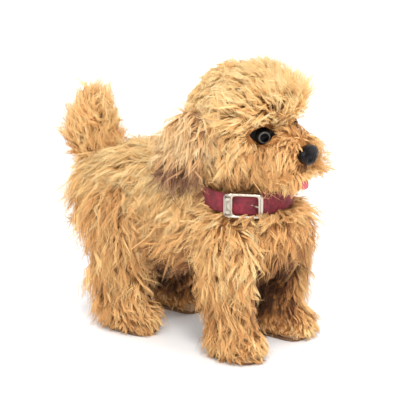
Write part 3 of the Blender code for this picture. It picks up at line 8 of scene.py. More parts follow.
import bmesh
import bpy
import numpy as np
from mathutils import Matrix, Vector


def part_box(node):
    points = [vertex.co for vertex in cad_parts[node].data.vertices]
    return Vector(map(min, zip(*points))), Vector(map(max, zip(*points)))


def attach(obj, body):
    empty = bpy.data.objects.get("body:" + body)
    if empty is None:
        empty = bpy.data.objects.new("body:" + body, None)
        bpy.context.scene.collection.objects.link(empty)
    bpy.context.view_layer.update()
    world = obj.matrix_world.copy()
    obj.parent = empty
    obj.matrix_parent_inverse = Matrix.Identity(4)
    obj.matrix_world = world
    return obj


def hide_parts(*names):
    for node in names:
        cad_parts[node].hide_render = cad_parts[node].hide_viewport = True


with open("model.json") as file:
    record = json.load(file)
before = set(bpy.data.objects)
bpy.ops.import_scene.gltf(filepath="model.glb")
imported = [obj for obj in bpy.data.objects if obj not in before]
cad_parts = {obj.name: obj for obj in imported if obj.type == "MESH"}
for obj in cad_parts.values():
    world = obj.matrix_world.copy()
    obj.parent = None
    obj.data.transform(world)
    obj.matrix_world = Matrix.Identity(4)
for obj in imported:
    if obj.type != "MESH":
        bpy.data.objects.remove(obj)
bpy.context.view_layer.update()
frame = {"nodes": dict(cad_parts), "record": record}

SETBACK = -0.008                # y of the puppy's own origin
SIDES = (("left", 1), ("right", -1))
ENDS = (("front", -0.046, 0.077, 0.020), ("rear", 0.042, 0.082, 0.024))    # hip's y and z, haunch
NECK = np.array((0.0, -0.040))  # x and own y of the neck's axis
COLLAR_Z = 0.106
STRAP_START = 196.0             # degrees round the neck
BUCKLE_AT = 210.0
DOWN = np.array((0.0, 0.0, -1.0))
EYE_TILT = math.radians(12.0)
WIDEST = 0.0580                 # the hair of ears and legs goes no farther out
ROOT_DEPTH = 0.0006             # roots start this far inside the backing
STRANDS = 7                     # in each lock
WALK = 12                       # steps from a strand's root to its tip
VIEW_WIDTH = 0.268              # width that the camera sees at the puppy
VIEW_DISTANCE = 1.5


# ---- shader nodes written as expressions ----
class Wire:
    """A socket of a material; sums and products of it add Math nodes."""

    def __init__(self, bench, socket):
        self.bench = bench
        self.socket = socket

    def __add__(self, other):
        return self.bench.node("ShaderNodeMath", {"operation": "ADD"}, {0: self, 1: other})

    def __mul__(self, other):
        return self.bench.node("ShaderNodeMath", {"operation": "MULTIPLY"}, {0: self, 1: other})

    def above(self, level, width=0.1):
        """0 below level, 1 above level + width, eased in between."""
        return self.bench.node("ShaderNodeMapRange", {"interpolation_type": "SMOOTHSTEP"},
                               {0: self, 1: level, 2: level + width, 3: 0.0, 4: 1.0})


class Bench:
    """Builds one material."""

    def __init__(self, name):
        self.material = bpy.data.materials.new(name)
        self.material.use_nodes = True
        self.tree = self.material.node_tree
        self.tree.nodes.clear()

    def node(self, kind, settings=None, inputs=None, output=0):
        made = self.tree.nodes.new(kind)
        for key, value in (settings or {}).items():
            if key == "stops":
                fill_ramp(made.color_ramp, value)
            else:
                setattr(made, key, value)
        for key, value in (inputs or {}).items():
            if isinstance(value, Wire):
                self.tree.links.new(value.socket, made.inputs[key])
            else:
                made.inputs[key].default_value = value
        return Wire(self, made.outputs[output])

    def place(self):
        """Object coordinates, in metres."""
        return self.node("ShaderNodeTexCoord", output="Object")

    def noise(self, scale, detail=3.0, roughness=0.55, vector=None, stretch=None):
        vector = vector or self.place()
        if stretch:
            vector = self.node("ShaderNodeVectorMath", {"operation": "MULTIPLY"}, {0: vector, 1: stretch})
        return self.node("ShaderNodeTexNoise", None,
                         {"Vector": vector, "Scale": scale, "Detail": detail, "Roughness": roughness})

    def ramp(self, value, stops):
        return self.node("ShaderNodeValToRGB", {"stops": stops}, {"Fac": value})

    def cells(self, scale):
        return self.node("ShaderNodeTexVoronoi", {"feature": "F1"},
                         {"Vector": self.place(), "Scale": scale})

    def blend(self, factor, first, second):
        """Mix of two colours, by a factor of 0 to 1."""
        first, second = ((*colour, 1.0) if isinstance(colour, tuple) else colour
                         for colour in (first, second))
        return self.node("ShaderNodeMix", {"data_type": "RGBA"}, {0: factor, 6: first, 7: second}, 2)

    def bump(self, height, strength, distance):
        return self.node("ShaderNodeBump", None,
                         {"Height": height, "Strength": strength, "Distance": distance})

    def finish(self, colour, rough, normal=None, more=None):
        """Ends the material in one shader; more holds its other inputs by name."""
        inputs = {"Base Color": colour, "Roughness": rough, **(more or {})}
        if normal:
            inputs["Normal"] = normal
        shader = self.node("ShaderNodeBsdfPrincipled", None, inputs)
        out = self.tree.nodes.new("ShaderNodeOutputMaterial")
        self.tree.links.new(shader.socket, out.inputs["Surface"])
        return self.material


def fill_ramp(ramp, stops):
    while len(ramp.elements) > 1:
        ramp.elements.remove(ramp.elements[-1])
    for index, (place, colour) in enumerate(stops):
        element = ramp.elements[0] if index == 0 else ramp.elements.new(place)
        element.position = place
        element.color = (*colour, 1.0)


# ---- materials ----
def fibre_material(name, tips, roots):
    """Hair: u of the strand map picks its tone, v runs from root to tip."""
    bench = Bench(name)
    strand = bench.node("ShaderNodeUVMap", {"uv_map": "OFBake"})
    u = bench.node("ShaderNodeSeparateXYZ", None, {0: strand}, 0)
    v = bench.node("ShaderNodeSeparateXYZ", None, {0: strand}, 1)
    tip = bench.ramp(u, tips)
    root = bench.ramp(u, roots)
    colour = bench.blend(v.above(0.02, 0.55), root, tip)
    streak = bench.noise(1.0, 2.0, 0.6, strand, (70.0, 2.5, 0.0))
    colour = bench.blend(streak.above(0.42, 0.3) * 0.15, colour, (1.0, 0.80, 0.50))
    return bench.finish(colour, 0.62, None, {
        "Specular IOR Level": 0.22, "Sheen Weight": 0.10, "Sheen Roughness": 0.40,
        "Sheen Tint": (1.0, 0.74, 0.42, 1.0)})


def backing_material(name, light, dark):
    """Short dense underfur on its woven backing."""
    bench = Bench(name)
    patches = bench.noise(190.0, 4.0, 0.65)
    hairs = bench.noise(1500.0, 3.0, 0.7, None, (1.0, 1.0, 0.35))
    colour = bench.blend(patches.above(0.35, 0.3), dark, light)
    colour = bench.blend(hairs.above(0.45, 0.2) * 0.5, colour, light)
    return bench.finish(colour, 0.92, bench.bump(hairs, 0.6, 0.0006), {"Specular IOR Level": 0.2})


def moulded_material(name, colour, rough):
    """Moulded plastic: faint flow marks, fine spark texture and scuffed tone."""
    bench = Bench(name)
    cloud = bench.noise(60.0, 3.0)
    grain = bench.noise(2600.0, 2.0)
    dark = tuple(channel * 0.82 for channel in colour)
    mixed = bench.blend(cloud.above(0.3, 0.4), dark, colour)
    return bench.finish(mixed, cloud * 0.12 + (rough - 0.06), bench.bump(grain, 0.18, 0.0002))


def metal_material(name, colour, rough, engraving_and_shade=False):
    """Plated or brushed metal with fine wear, darkened where its engraving_and_shade attribute marks
    engraving and painted shade.
    """
    bench = Bench(name)
    wear = bench.noise(420.0, 4.0, 0.7)
    lines = bench.noise(900.0, 2.0, 0.6, None, (1.0, 1.0, 0.05))
    dark = tuple(channel * 0.55 for channel in colour)
    mixed = bench.blend(wear.above(0.52, 0.2) * 0.5, colour, dark)
    if engraving_and_shade:
        # Darkening by that attribute: engraving lines, and painted shade on the buckle's underside.
        groove = bench.node("ShaderNodeAttribute", {"attribute_name": "engraving_and_shade"}, None, 2)
        mixed = bench.blend(groove * 0.88, mixed, (0.045, 0.030, 0.022))
    return bench.finish(mixed, wear * 0.2 + (rough - 0.08), bench.bump(lines, 0.25, 0.0002),
                        {"Metallic": 1.0})


def strap_material():
    """Crimson felted leather with a pebbled face."""
    bench = Bench("strap_crimson")
    cloud = bench.noise(220.0, 4.0, 0.65)
    fuzz = bench.noise(2600.0, 3.0, 0.7)
    colour = bench.blend(cloud.above(0.33, 0.35), (0.095, 0.003, 0.010), (0.26, 0.010, 0.026))
    colour = bench.blend(fuzz.above(0.5, 0.25) * 0.35, colour, (0.36, 0.035, 0.055))
    return bench.finish(colour, fuzz * 0.2 + 0.58, bench.bump(bench.cells(1500.0) + fuzz * 0.5, 0.5, 0.0004),
                        {"Sheen Weight": 0.35, "Sheen Tint": (1.0, 0.45, 0.5, 1.0)})


def bead_material():
    """Black glass-like eye bead with a faint grey ring round its pupil."""
    bench = Bench("eye_bead_black")
    cloud = bench.noise(300.0, 2.0)
    ring = bench.node("ShaderNodeAttribute", {"attribute_name": "iris"}, None, 2)
    colour = bench.blend(cloud.above(0.4, 0.4), (0.001, 0.001, 0.001), (0.004, 0.003, 0.002))
    colour = bench.blend(ring * 0.75, colour, (0.13, 0.115, 0.105))
    return bench.finish(colour, 0.04, None, {"Specular IOR Level": 0.08})


def nose_material():
    """Pebbled black nose with a thin gloss."""
    bench = Bench("nose_black")
    cloud = bench.noise(260.0, 3.0)
    colour = bench.blend(cloud.above(0.4, 0.35), (0.003, 0.002, 0.002), (0.016, 0.009, 0.007))
    return bench.finish(colour, cloud * 0.12 + 0.12, bench.bump(bench.cells(1700.0), 0.35, 0.0003),
                        {"Specular IOR Level": 0.13, "Coat Weight": 0.03, "Coat Roughness": 0.05})


def felt_material(name, colour, lift):
    """Felt: its colour, with fuzz lighter by lift."""
    bench = Bench(name)
    fuzz = bench.noise(2400.0, 4.0, 0.75)
    cloud = bench.noise(300.0, 2.0)
    light = tuple(min(1.0, channel + lift) for channel in colour)
    mixed = bench.blend(fuzz.above(0.42, 0.3) * 0.8, colour, light)
    return bench.finish(mixed, cloud * 0.1 + 0.82, bench.bump(fuzz, 0.5, 0.0003),
                        {"Specular IOR Level": 0.12})


def rubber_material():
    """Sole rubber with a fine diamond tread."""
    bench = Bench("sole_rubber")
    tread = bench.node("ShaderNodeTexWave", {"wave_type": "BANDS", "bands_direction": "DIAGONAL"},
                       {"Vector": bench.place(), "Scale": 260.0, "Distortion": 0.0})
    dust = bench.noise(500.0, 3.0)
    colour = bench.blend(dust.above(0.45, 0.3), (0.15, 0.078, 0.036), (0.24, 0.13, 0.062))
    return bench.finish(colour, dust * 0.15 + 0.75, bench.bump(tread, 0.5, 0.0004))


def jacket_material():
    """Cell jacket: shiny film with a bright band at one end."""
    bench = Bench("cell_jacket")
    along = bench.node("ShaderNodeSeparateXYZ", None, {0: bench.place()}, 1)
    scuff = bench.noise(700.0, 4.0, 0.7)
    colour = bench.blend(along.above(-0.022, 0.0008), (0.05, 0.16, 0.22), (0.62, 0.46, 0.16))
    colour = bench.blend(scuff.above(0.55, 0.2) * 0.3, colour, (0.5, 0.5, 0.5))
    return bench.finish(colour, scuff * 0.2 + 0.18, None, {"Metallic": 0.45})


def board_material():
    """Green circuit board crossed by brighter tracks."""
    bench = Bench("board_green")
    tracks = bench.node("ShaderNodeTexBrick", None,
                        {"Vector": bench.place(), "Color1": (0.02, 0.16, 0.06, 1.0),
                         "Color2": (0.02, 0.20, 0.08, 1.0), "Mortar": (0.30, 0.42, 0.16, 1.0),
                         "Scale": 420.0, "Mortar Size": 0.05})
    return bench.finish(tracks, bench.noise(900.0, 3.0) * 0.2 + 0.3)


# Tones run from dark brown to pale gold; the tone functions use the dark end for painted shade as well as
# for darker locks.
GOLD_TIPS = ((0.0, (0.075, 0.020, 0.007)), (0.15, (0.38, 0.140, 0.042)), (0.35, (0.76, 0.385, 0.130)),
             (0.55, (0.93, 0.54, 0.215)), (0.78, (0.99, 0.68, 0.300)), (1.0, (1.0, 0.79, 0.43)))
GOLD_ROOTS = ((0.0, (0.022, 0.005, 0.002)), (0.35, (0.26, 0.092, 0.022)), (0.7, (0.62, 0.28, 0.080)),
              (1.0, (0.84, 0.49, 0.18)))
EAR_TIPS = ((0.0, (0.17, 0.070, 0.046)), (0.25, (0.40, 0.19, 0.110)), (0.55, (0.84, 0.47, 0.195)),
            (1.0, (1.0, 0.76, 0.43)))
EAR_ROOTS = ((0.0, (0.06, 0.024, 0.016)), (0.5, (0.38, 0.16, 0.055)), (1.0, (0.76, 0.42, 0.15)))


# ---- meshes from arrays ----
def mesh_object(name, verts, quads, tris):
    """One mesh from a vertex array, an array of quads and an array of triangles."""
    mesh = bpy.data.meshes.new(name)
    mesh.vertices.add(len(verts))
    mesh.vertices.foreach_set("co", np.ascontiguousarray(verts, np.float32).ravel())
    loops = np.concatenate([quads.ravel(), tris.ravel()]).astype(np.int32)
    mesh.loops.add(len(loops))
    mesh.loops.foreach_set("vertex_index", loops)
    starts = np.concatenate([np.arange(len(quads)) * 4, 4 * len(quads) + np.arange(len(tris)) * 3])
    mesh.polygons.add(len(starts))
    mesh.polygons.foreach_set("loop_start", starts.astype(np.int32))
    mesh.update(calc_edges=True)
    mesh.validate()
    mesh.polygons.foreach_set("use_smooth", np.ones(len(mesh.polygons), bool))
    made = bpy.data.objects.new(name, mesh)
    bpy.context.scene.collection.objects.link(made)
    return made


def sheet(name, points, ring=False):
    """Skin over a grid of points [rows, columns, 3] whose columns wrap round.  Its rows join into a ring,
    or else each end row is closed by a fan to the mean of its points."""
    rows, columns = points.shape[:2]
    verts = points.reshape(-1, 3)
    row, column = np.meshgrid(np.arange(rows if ring else rows - 1), np.arange(columns), indexing="ij")
    here, after = row * columns, (row + 1) % rows * columns
    turn = (column + 1) % columns
    quads = np.stack([here + column, here + turn, after + turn, after + column], -1).reshape(-1, 4)
    tris = np.zeros((0, 3), int)
    if not ring:
        step, turn = np.arange(columns), (np.arange(columns) + 1) % columns
        hub, last = np.full(columns, len(verts)), (rows - 1) * columns
        tris = np.concatenate([np.stack([hub, turn, step], -1),
                               np.stack([hub + 1, last + step, last + turn], -1)])
        verts = np.vstack([verts, points[0].mean(0), points[-1].mean(0)])
    return face_out(mesh_object(name, verts, quads, tris))


def skin(name, surface, columns, rows, margin=0.003):
    """Backing over a surface, from v = margin to v = 1 - margin."""
    u, v = np.meshgrid(np.arange(columns) / columns, np.linspace(margin, 1 - margin, rows))
    return sheet(name, surface(u, v))


def vertices(made):
    place = np.zeros(len(made.data.vertices) * 3, np.float32)
    made.data.vertices.foreach_get("co", place)
    return place.reshape(-1, 3)


def face_out(made):
    """Turns a closed mesh the right way out if the sum of a . (b x c) over its triangles is negative."""
    mesh = made.data
    mesh.calc_loop_triangles()
    corners = np.zeros(len(mesh.loop_triangles) * 3, np.int32)
    mesh.loop_triangles.foreach_get("vertices", corners)
    a, b, c = vertices(made)[corners.reshape(-1, 3)].transpose(1, 0, 2)
    if np.einsum("ij,ij->", a, np.cross(b, c)) < 0:
        mesh.flip_normals()
    return made


def settle(made, body, material, replaces=()):
    """Gives a piece its material, its CAD body and the CAD nodes it stands for."""
    repaint(made, material)
    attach(made, body)
    if replaces:
        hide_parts(*replaces)


def ease(value, low, high):
    """0 at low, 1 at high, as 3 t squared - 2 t cubed in between."""
    part = np.clip((value - low) / (high - low), 0.0, 1.0)
    return part * part * (3 - 2 * part)


def unit(vectors):
    return vectors / np.maximum(np.linalg.norm(vectors, axis=-1, keepdims=True), 1e-12)


def signed_power(value, power):
    return np.sign(value) * np.abs(value) ** power


def toward(x, y, z):
    """Vectors with these parts, each an array or one number."""
    return np.stack(np.broadcast_arrays(x, y, z), -1)


def own_y(points):
    return points[:, 1] - SETBACK


def around(count):
    """Angles of a full turn in equal steps."""
    return np.arange(count) / count * 2 * np.pi


def ripple(points, scale, seed):
    """Smooth pseudo-random value in -1..1 that varies over about 1 / scale metres."""
    rng = np.random.default_rng(seed)
    waves = rng.normal(size=(7, 3)) * scale
    phase = rng.uniform(0, 2 * math.pi, 7)
    return np.sin(points @ waves.T + phase).sum(-1) / 3.2


def through(rows, v):
    """Smooth curve through rows of numbers; the first column is the parameter, 0 to 1."""
    rows = np.array(rows, float)
    knots, values = rows[:, 0], rows[:, 1:]
    slopes = np.gradient(values, knots, axis=0)
    index = np.clip(np.searchsorted(knots, v, side="right") - 1, 0, len(knots) - 2)
    span = knots[index + 1] - knots[index]
    t = np.clip((v - knots[index]) / span, 0, 1)[..., None]
    span = span[..., None]
    return ((2 * t ** 3 - 3 * t ** 2 + 1) * values[index] + (t ** 3 - 2 * t ** 2 + t) * span * slopes[index]
            + (3 * t ** 2 - 2 * t ** 3) * values[index + 1] + (t ** 3 - t ** 2) * span * slopes[index + 1])


# ---- surfaces under the coat ----
def body_surface(u, v):
    """Barrel along Y.  Its section is a superellipse, of power 2.3 above and 3.4 below, whose size follows
    a superellipse of power 2.5 from chest to rump.  Forward of the shoulders it is drawn in to the neck's
    radius under the collar and cut flat at the top."""
    lat = np.pi * (v - 0.5)
    lon = 2 * np.pi * u
    girth = np.abs(np.cos(lat)) ** (2 / 2.5)
    y = 0.0065 + 0.0825 * signed_power(np.sin(lat), 2 / 2.5)
    below = np.sin(lon) < 0
    power = np.where(below, 2 / 3.4, 2 / 2.3)
    x = 0.0345 * girth * signed_power(np.cos(lon), power)
    z = 0.0900 + np.where(below, 0.0325, 0.0310) * girth * signed_power(np.sin(lon), power)
    away = np.stack([x - NECK[0], y - NECK[1]], -1)
    reach = np.linalg.norm(away, axis=-1)
    allowed = 0.0262 + 0.06 * ease(z, 0.0985, 0.088)
    pull = ease(y, -0.006, -0.020)
    scale = 1 - pull * (1 - np.minimum(1, allowed / np.maximum(reach, 1e-6)))
    x = NECK[0] + away[..., 0] * scale
    y = NECK[1] + away[..., 1] * scale
    z = z - ease(y, -0.004, -0.016) * np.maximum(0, z - 0.1130)
    return toward(x, y + SETBACK, z)


def head_surface(u, v):
    """Round head: ellipses stacked from the neck to the crown, of the rows' half width, middle y and half
    depth, joined by a smooth curve through the rows."""
    rows = ((0.00, 0.1140, 0.0185, -0.0395, 0.0190), (0.06, 0.1185, 0.0215, -0.0385, 0.0215),
            (0.16, 0.1260, 0.0275, -0.0365, 0.0265), (0.30, 0.1370, 0.0310, -0.0345, 0.0297),
            (0.46, 0.1500, 0.0318, -0.0338, 0.0306), (0.62, 0.1625, 0.0318, -0.0356, 0.0318),
            (0.76, 0.1720, 0.0285, -0.0362, 0.0296), (0.87, 0.1812, 0.0220, -0.0362, 0.0232),
            (0.95, 0.1870, 0.0135, -0.0360, 0.0142), (1.00, 0.1892, 0.0010, -0.0360, 0.0010))
    z, wide, middle, deep = np.moveaxis(through(rows, v), -1, 0)
    lon = 2 * np.pi * u
    return toward(wide * np.cos(lon), middle + SETBACK + deep * np.sin(lon), z)


def egg_surface(centre, radii, lean=0.0, power=1.0):
    """Ellipsoid with its poles on a vertical axis, its width times the cosine of the latitude to a power,
    turned about X by lean."""
    def surface(u, v):
        lat = np.pi * (v - 0.5)
        lon = 2 * np.pi * u
        y = radii[1] * np.cos(lat) ** power * np.sin(lon)
        z = radii[2] * np.sin(lat)
        return toward(centre[0] + radii[0] * np.cos(lat) ** power * np.cos(lon),
                      centre[1] + SETBACK + y * math.cos(lean) - z * math.sin(lean),
                      centre[2] + y * math.sin(lean) + z * math.cos(lean))
    return surface


def leg_surface(side, pivot_y, pivot_z, haunch):
    """Leg: ellipses stacked from the paw's underside to the top of the haunch.  Each row gives height,
    middle x, half width, half depth and how far forward its middle is.  A hind leg is deeper and farther
    back at its shank, a front leg broader at its paw."""
    top = pivot_z + haunch - 0.002
    rows = ((0.00, 0.0032, 0.027, 0.0060, 0.0100, 0.0050), (0.03, 0.0036, 0.027, 0.0112, 0.0160, 0.0050),
            (0.09, 0.0085, 0.027, 0.0134, 0.0190, 0.0052), (0.17, 0.0160, 0.027, 0.0128, 0.0172, 0.0040),
            (0.27, 0.0260, 0.027, 0.0112, 0.0128, 0.0012), (0.40, 0.0380, 0.027, 0.0118, 0.0135, 0.0),
            (0.55, 0.0500, 0.0278, 0.0124, 0.0150, 0.0),
            (0.70, pivot_z - 0.012, 0.0300, 0.0108, haunch - 0.0035, 0.0),
            (0.84, pivot_z + 0.001, 0.0308, 0.0098, haunch - 0.0022, 0.0),
            (0.95, top - 0.006, 0.0308, 0.0072, haunch * 0.60, 0.0),
            (1.00, top, 0.0305, 0.0006, 0.0010, 0.0))
    hind = 1.0 if pivot_y > 0 else 0.0

    def surface(u, v):
        z, x, wide, deep, ahead = np.moveaxis(through(rows, v), -1, 0)
        shank = 0.0032 * hind * ease(z, 0.064, 0.036)
        paw = (1 - hind) * ease(z, 0.026, 0.012) * ease(z, 0.003, 0.006)
        lon = 2 * np.pi * u
        return toward(side * (x + (wide + 0.0010 * paw) * np.cos(lon)),
                      pivot_y + SETBACK - ahead + shank + (deep + shank + 0.0012 * paw) * np.sin(lon), z)
    return surface


def tail_surface(u, v):
    """Tail: level circles stacked along a stem that rises and leans back.  Each row gives own y, height
    and radius, joined by a smooth curve."""
    rows = ((0.00, 0.078, 0.1000, 0.0045), (0.10, 0.083, 0.1050, 0.0080), (0.25, 0.0895, 0.1150, 0.0090),
            (0.50, 0.0925, 0.1250, 0.0092), (0.75, 0.0925, 0.1340, 0.0082), (0.92, 0.0915, 0.1415, 0.0046),
            (1.00, 0.0905, 0.1450, 0.0006))
    y, z, thick = np.moveaxis(through(rows, v), -1, 0)
    lon = 2 * np.pi * u
    return toward(thick * np.cos(lon), y + SETBACK + thick * np.sin(lon), z)


# ---- coat ----
RINGS = np.array((0.0, 0.28, 0.56, 0.82))       # where a strand's rings sit, as shares of its length
SHORT_RINGS = np.array((0.0, 0.34, 0.68))
TAPER = np.array((0.80, 1.00, 0.86, 0.52))      # its thickness at RINGS
LOOK = {"wander": 300.0, "waves": 1.15, "gather": 0.75, "width": 0.00025, "rings": SHORT_RINGS,
        "trim": lambda point, normal: 1.0, "rise": lambda point: 1.0, "partings": (),
        "widest": 1.0, "floor": 0.0}


def sow(surface, count, rng, weight):
    """Roots spread evenly over a surface where weight(point, normal) is above 0: marks at equal steps of
    the running sum of area * weight over a grid of cells, each moved at random inside its cell."""
    cells = 150
    edge = (np.arange(cells) + 0.5) / cells
    u, v = np.meshgrid(edge, edge, indexing="ij")
    point, normal, area = feel(surface, u.ravel(), v.ravel())
    total = np.cumsum(area * np.clip(weight(point, normal), 0, None))
    marks = (np.arange(count) + rng.uniform(size=count)) / count * total[-1]
    cell = np.minimum(np.searchsorted(total, marks), cells * cells - 1)
    u = (cell // cells + rng.uniform(size=count)) / cells
    v = (cell % cells + rng.uniform(size=count)) / cells
    point, normal, _ = feel(surface, u, v)
    return point - normal * ROOT_DEPTH, normal


def feel(surface, u, v):
    """Point, outward normal and area factor of a surface, by central differences."""
    step = 1e-3
    v = np.clip(v, 2e-3, 1 - 2e-3)
    along_u = (surface(u + step, v) - surface(u - step, v)) / (2 * step)
    along_v = (surface(u, v + step) - surface(u, v - step)) / (2 * step)
    cross = np.cross(along_u, along_v)
    area = np.linalg.norm(cross, axis=-1)
    point = surface(u, v)
    outward = np.sign(((point - point.mean(0)) * cross).sum())
    return point, outward * cross / np.maximum(area, 1e-12)[:, None], area


def comb(root, normal, flow, look, rng):
    """Strands in locks: each lock leaves its root along lift * normal + flow, turns toward the flow and
    the ground, waves sideways and gathers at its tip.  Returns points [strands, rings + 1, 3], widths,
    tones and normals."""
    locks = len(root)
    flow = flow - normal * np.einsum("ij,ij->i", flow, normal)[:, None]
    flow = unit(flow + 1e-6)
    side = np.cross(normal, flow)
    swirl = ripple(root, look["wander"], look["seed"]) + 0.28 * rng.normal(size=locks)
    swirl = look["swirl"] * swirl
    flow = flow * np.cos(swirl)[:, None] + side * np.sin(swirl)[:, None]
    side = np.cross(normal, flow)
    length = look["length"] * (1 + 0.24 * ripple(root, 330.0, look["seed"] + 1)
                               + 0.16 * rng.normal(size=locks))
    length = np.clip(length, 0.35 * look["length"], 1.6 * look["length"]) * look["trim"](root, normal)
    lift = np.clip(look["lift"] + 0.22 * rng.normal(size=locks), 0.1, 2.5) * look["rise"](root)
    fall = look["fall"] * (1 + 0.3 * rng.normal(size=locks))
    phase = rng.uniform(0, 2 * math.pi, locks)
    curl = look["curl"] * np.abs(1 + 0.4 * rng.normal(size=locks))
    tone = look["tone"](root, normal) + 0.13 * ripple(root, 430.0, look["seed"] + 2)
    tone = tone + 0.12 * rng.normal(size=locks)

    count = locks * STRANDS
    root, normal, flow, side, length, lift, fall, phase, curl, tone = (
        np.repeat(array, STRANDS, axis=0)
        for array in (root, normal, flow, side, length, lift, fall, phase, curl, tone))
    angle = rng.uniform(0, 2 * math.pi, count)
    radius = look["girth"] * np.sqrt(rng.uniform(0.02, 1, count))
    offset = side * (np.cos(angle) * radius)[:, None] + flow * (np.sin(angle) * radius)[:, None]
    length = np.clip(length * (1 + 0.14 * rng.normal(size=count)), 0.0015, None)
    lift = lift * (1 + 0.12 * rng.normal(size=count))
    t = (np.arange(WALK) + 0.5) / WALK
    heading = unit(normal[:, None] * (lift[:, None] * (1 - t) ** 1.3)[..., None]
                   + flow[:, None] * (0.35 + 0.9 * t)[None, :, None]
                   + DOWN * (fall[:, None] * (0.15 + t))[..., None])
    walk = np.concatenate([np.zeros((count, 1, 3)), np.cumsum(heading, 1) / WALK], 1)
    marks = np.concatenate([look["rings"], [1.0]])
    low = np.minimum((marks * WALK).astype(int), WALK - 1)
    part = (marks * WALK - low)[None, :, None]
    path = walk[:, low] * (1 - part) + walk[:, low + 1] * part
    turn = marks * (look["waves"] * 2 * math.pi) + phase[:, None]
    sway = (side[:, None] * np.sin(turn)[..., None] + normal[:, None] * (0.6 * np.cos(turn))[..., None])
    start = side * np.sin(phase)[:, None] + normal * (0.6 * np.cos(phase))[:, None]
    size = (curl[:, None] * marks ** 0.8)[..., None]
    path = path + (sway - start[:, None] * 0.3) * size
    gathered = look["gather"] * marks ** 0.9
    points = ((root + offset)[:, None] + path * length[:, None, None]
              - offset[:, None] * gathered[None, :, None])
    for parting in look["partings"]:
        points = clip_hair(points, look["rings"], *parting)
    points[..., 0] = np.clip(points[..., 0], -look["widest"], look["widest"])
    points[..., 2] = np.maximum(points[..., 2], look["floor"])
    width = look["width"] * (1 + 0.2 * rng.normal(size=count))
    width = np.clip(width, 0.0001, None) * np.clip(length / 0.006, 0.45, 1.0)
    return points, width, np.clip(tone + 0.05 * rng.normal(size=count), 0.01, 0.96), normal


def clip_hair(points, share, centre, axes, reach):
    """Cuts hair short of an oval seen along the third axis, between two depths: an eye or the nose."""
    local = (points - centre) @ axes.T
    size = np.hypot(local[..., 0] / reach[0], local[..., 1] / reach[1])
    inside = (size < 1) & (local[..., 2] > reach[2]) & (local[..., 2] < reach[3])
    first = np.minimum(np.argmax(inside, 1), len(share) - 1)
    keep = np.where(inside.any(1), np.clip(share[first] - 0.16, 0.10, 1.0), 1.0)
    return points[:, :1] + (points - points[:, :1]) * keep[:, None, None]


def strands(name, share, points, width, tone, normal):
    """Closed three-sided tubes along the strands.  Ring k is an oval of half width
    width * taper(share of k) across the strand and 0.75 times that the other way; the last point is the
    tip.  The strand map's u is the tone and a hair's breadth round the tube, its v the share."""
    count, rings = len(points), len(share)
    taper = np.interp(share, RINGS, TAPER)
    tangent = unit(np.gradient(points, axis=1))[:, :rings]
    across = unit(np.cross(tangent, normal[:, None] + 1e-5))
    third = np.cross(tangent, across)
    angle = np.arange(3) * 2 * math.pi / 3
    thick = (width[:, None] * taper)[..., None, None]
    ring = (points[:, :rings, None] + thick * (np.cos(angle)[:, None] * across[:, :, None]
                                               + 0.75 * np.sin(angle)[:, None] * third[:, :, None]))
    verts = np.concatenate([ring.reshape(count, 3 * rings, 3), points[:, rings:]], 1)
    row, corner = np.meshgrid(np.arange(rings - 1), np.arange(3), indexing="ij")
    turn = (corner + 1) % 3
    quads = np.stack([row * 3 + corner, row * 3 + turn, row * 3 + 3 + turn, row * 3 + 3 + corner], -1)
    last, tip = 3 * rings - 3, 3 * rings
    tris = np.array(((last, last + 1, tip), (last + 1, last + 2, tip), (last + 2, last, tip), (0, 2, 1)))
    base = (np.arange(count) * (tip + 1))[:, None, None]
    made = mesh_object(name, verts.reshape(-1, 3), (quads.reshape(-1, 4) + base).reshape(-1, 4),
                       (tris + base).reshape(-1, 3))
    side_u = 0.004                          # of each of the three sides
    height = share * 0.96 + 0.02
    u_quad = np.stack([corner, corner + 1, corner + 1, corner], -1).reshape(-1, 4) * side_u
    v_quad = np.stack([height[row], height[row], height[row + 1], height[row + 1]], -1).reshape(-1, 4)
    u_tri = np.array(((0, 1, 0.5), (1, 2, 1.5), (2, 3, 2.5), (0, 1, 2))) * side_u
    v_tri = np.array(((height[-1], height[-1], 0.98),) * 3 + ((0.02, 0.02, 0.03),))
    tone = tone[:, None, None]
    u = np.concatenate([(u_quad + tone).ravel(), (u_tri + tone).ravel()])
    v = np.concatenate([np.tile(v_quad.ravel(), count), np.tile(v_tri.ravel(), count)])
    layer = made.data.uv_layers.new(name="OFBake")
    layer.uv.foreach_set("vector", np.stack([u, v], -1).astype(np.float32).ravel())
    return made


def everywhere(point, normal):
    return np.ones(len(point))


def coat(name, body, fibre, surface, locks, seed, look, flow, weight=everywhere):
    """Hair of one region: roots sown over its surface, combed into locks and skinned."""
    look = {**LOOK, **look, "seed": seed}
    rng = np.random.default_rng(seed)
    root, normal = sow(surface, locks, rng, weight)
    made = strands(name, look["rings"], *comb(root, normal, flow(root, normal), look, rng))
    settle(made, body, fibre)


def far_from(points, centres, radius, fade):
    """1 away from every centre, 0 within radius."""
    result = np.ones(len(points))
    for centre in centres:
        gap = np.linalg.norm(points - np.asarray(centre), axis=-1)
        result = result * ease(gap, radius, radius + fade)
    return result


def node_middle(node):
    low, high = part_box(node)
    return np.array((low + high) / 2)


def eye_frame(side):
    """Centre and outward direction of an eye bead, on the head's own ellipsoid."""
    centre = np.array((0.0, -0.032, 0.158))
    radii = np.array((0.034, 0.034, 0.037))
    x, z = side * 0.015, 0.151
    y = centre[1] - radii[1] * math.sqrt(1 - (x / radii[0]) ** 2 - ((z - centre[2]) / radii[2]) ** 2)
    place = np.array((x, y, z))
    out = unit((place - centre) / radii ** 2)
    return place + np.array((0.0, SETBACK, 0.0)), out


def eye_sight(out, side):
    """Direction that an eye and its lid face: a little outward and up from the head's surface."""
    return unit(out + np.array((side * 0.36, 0.0, 0.16)))


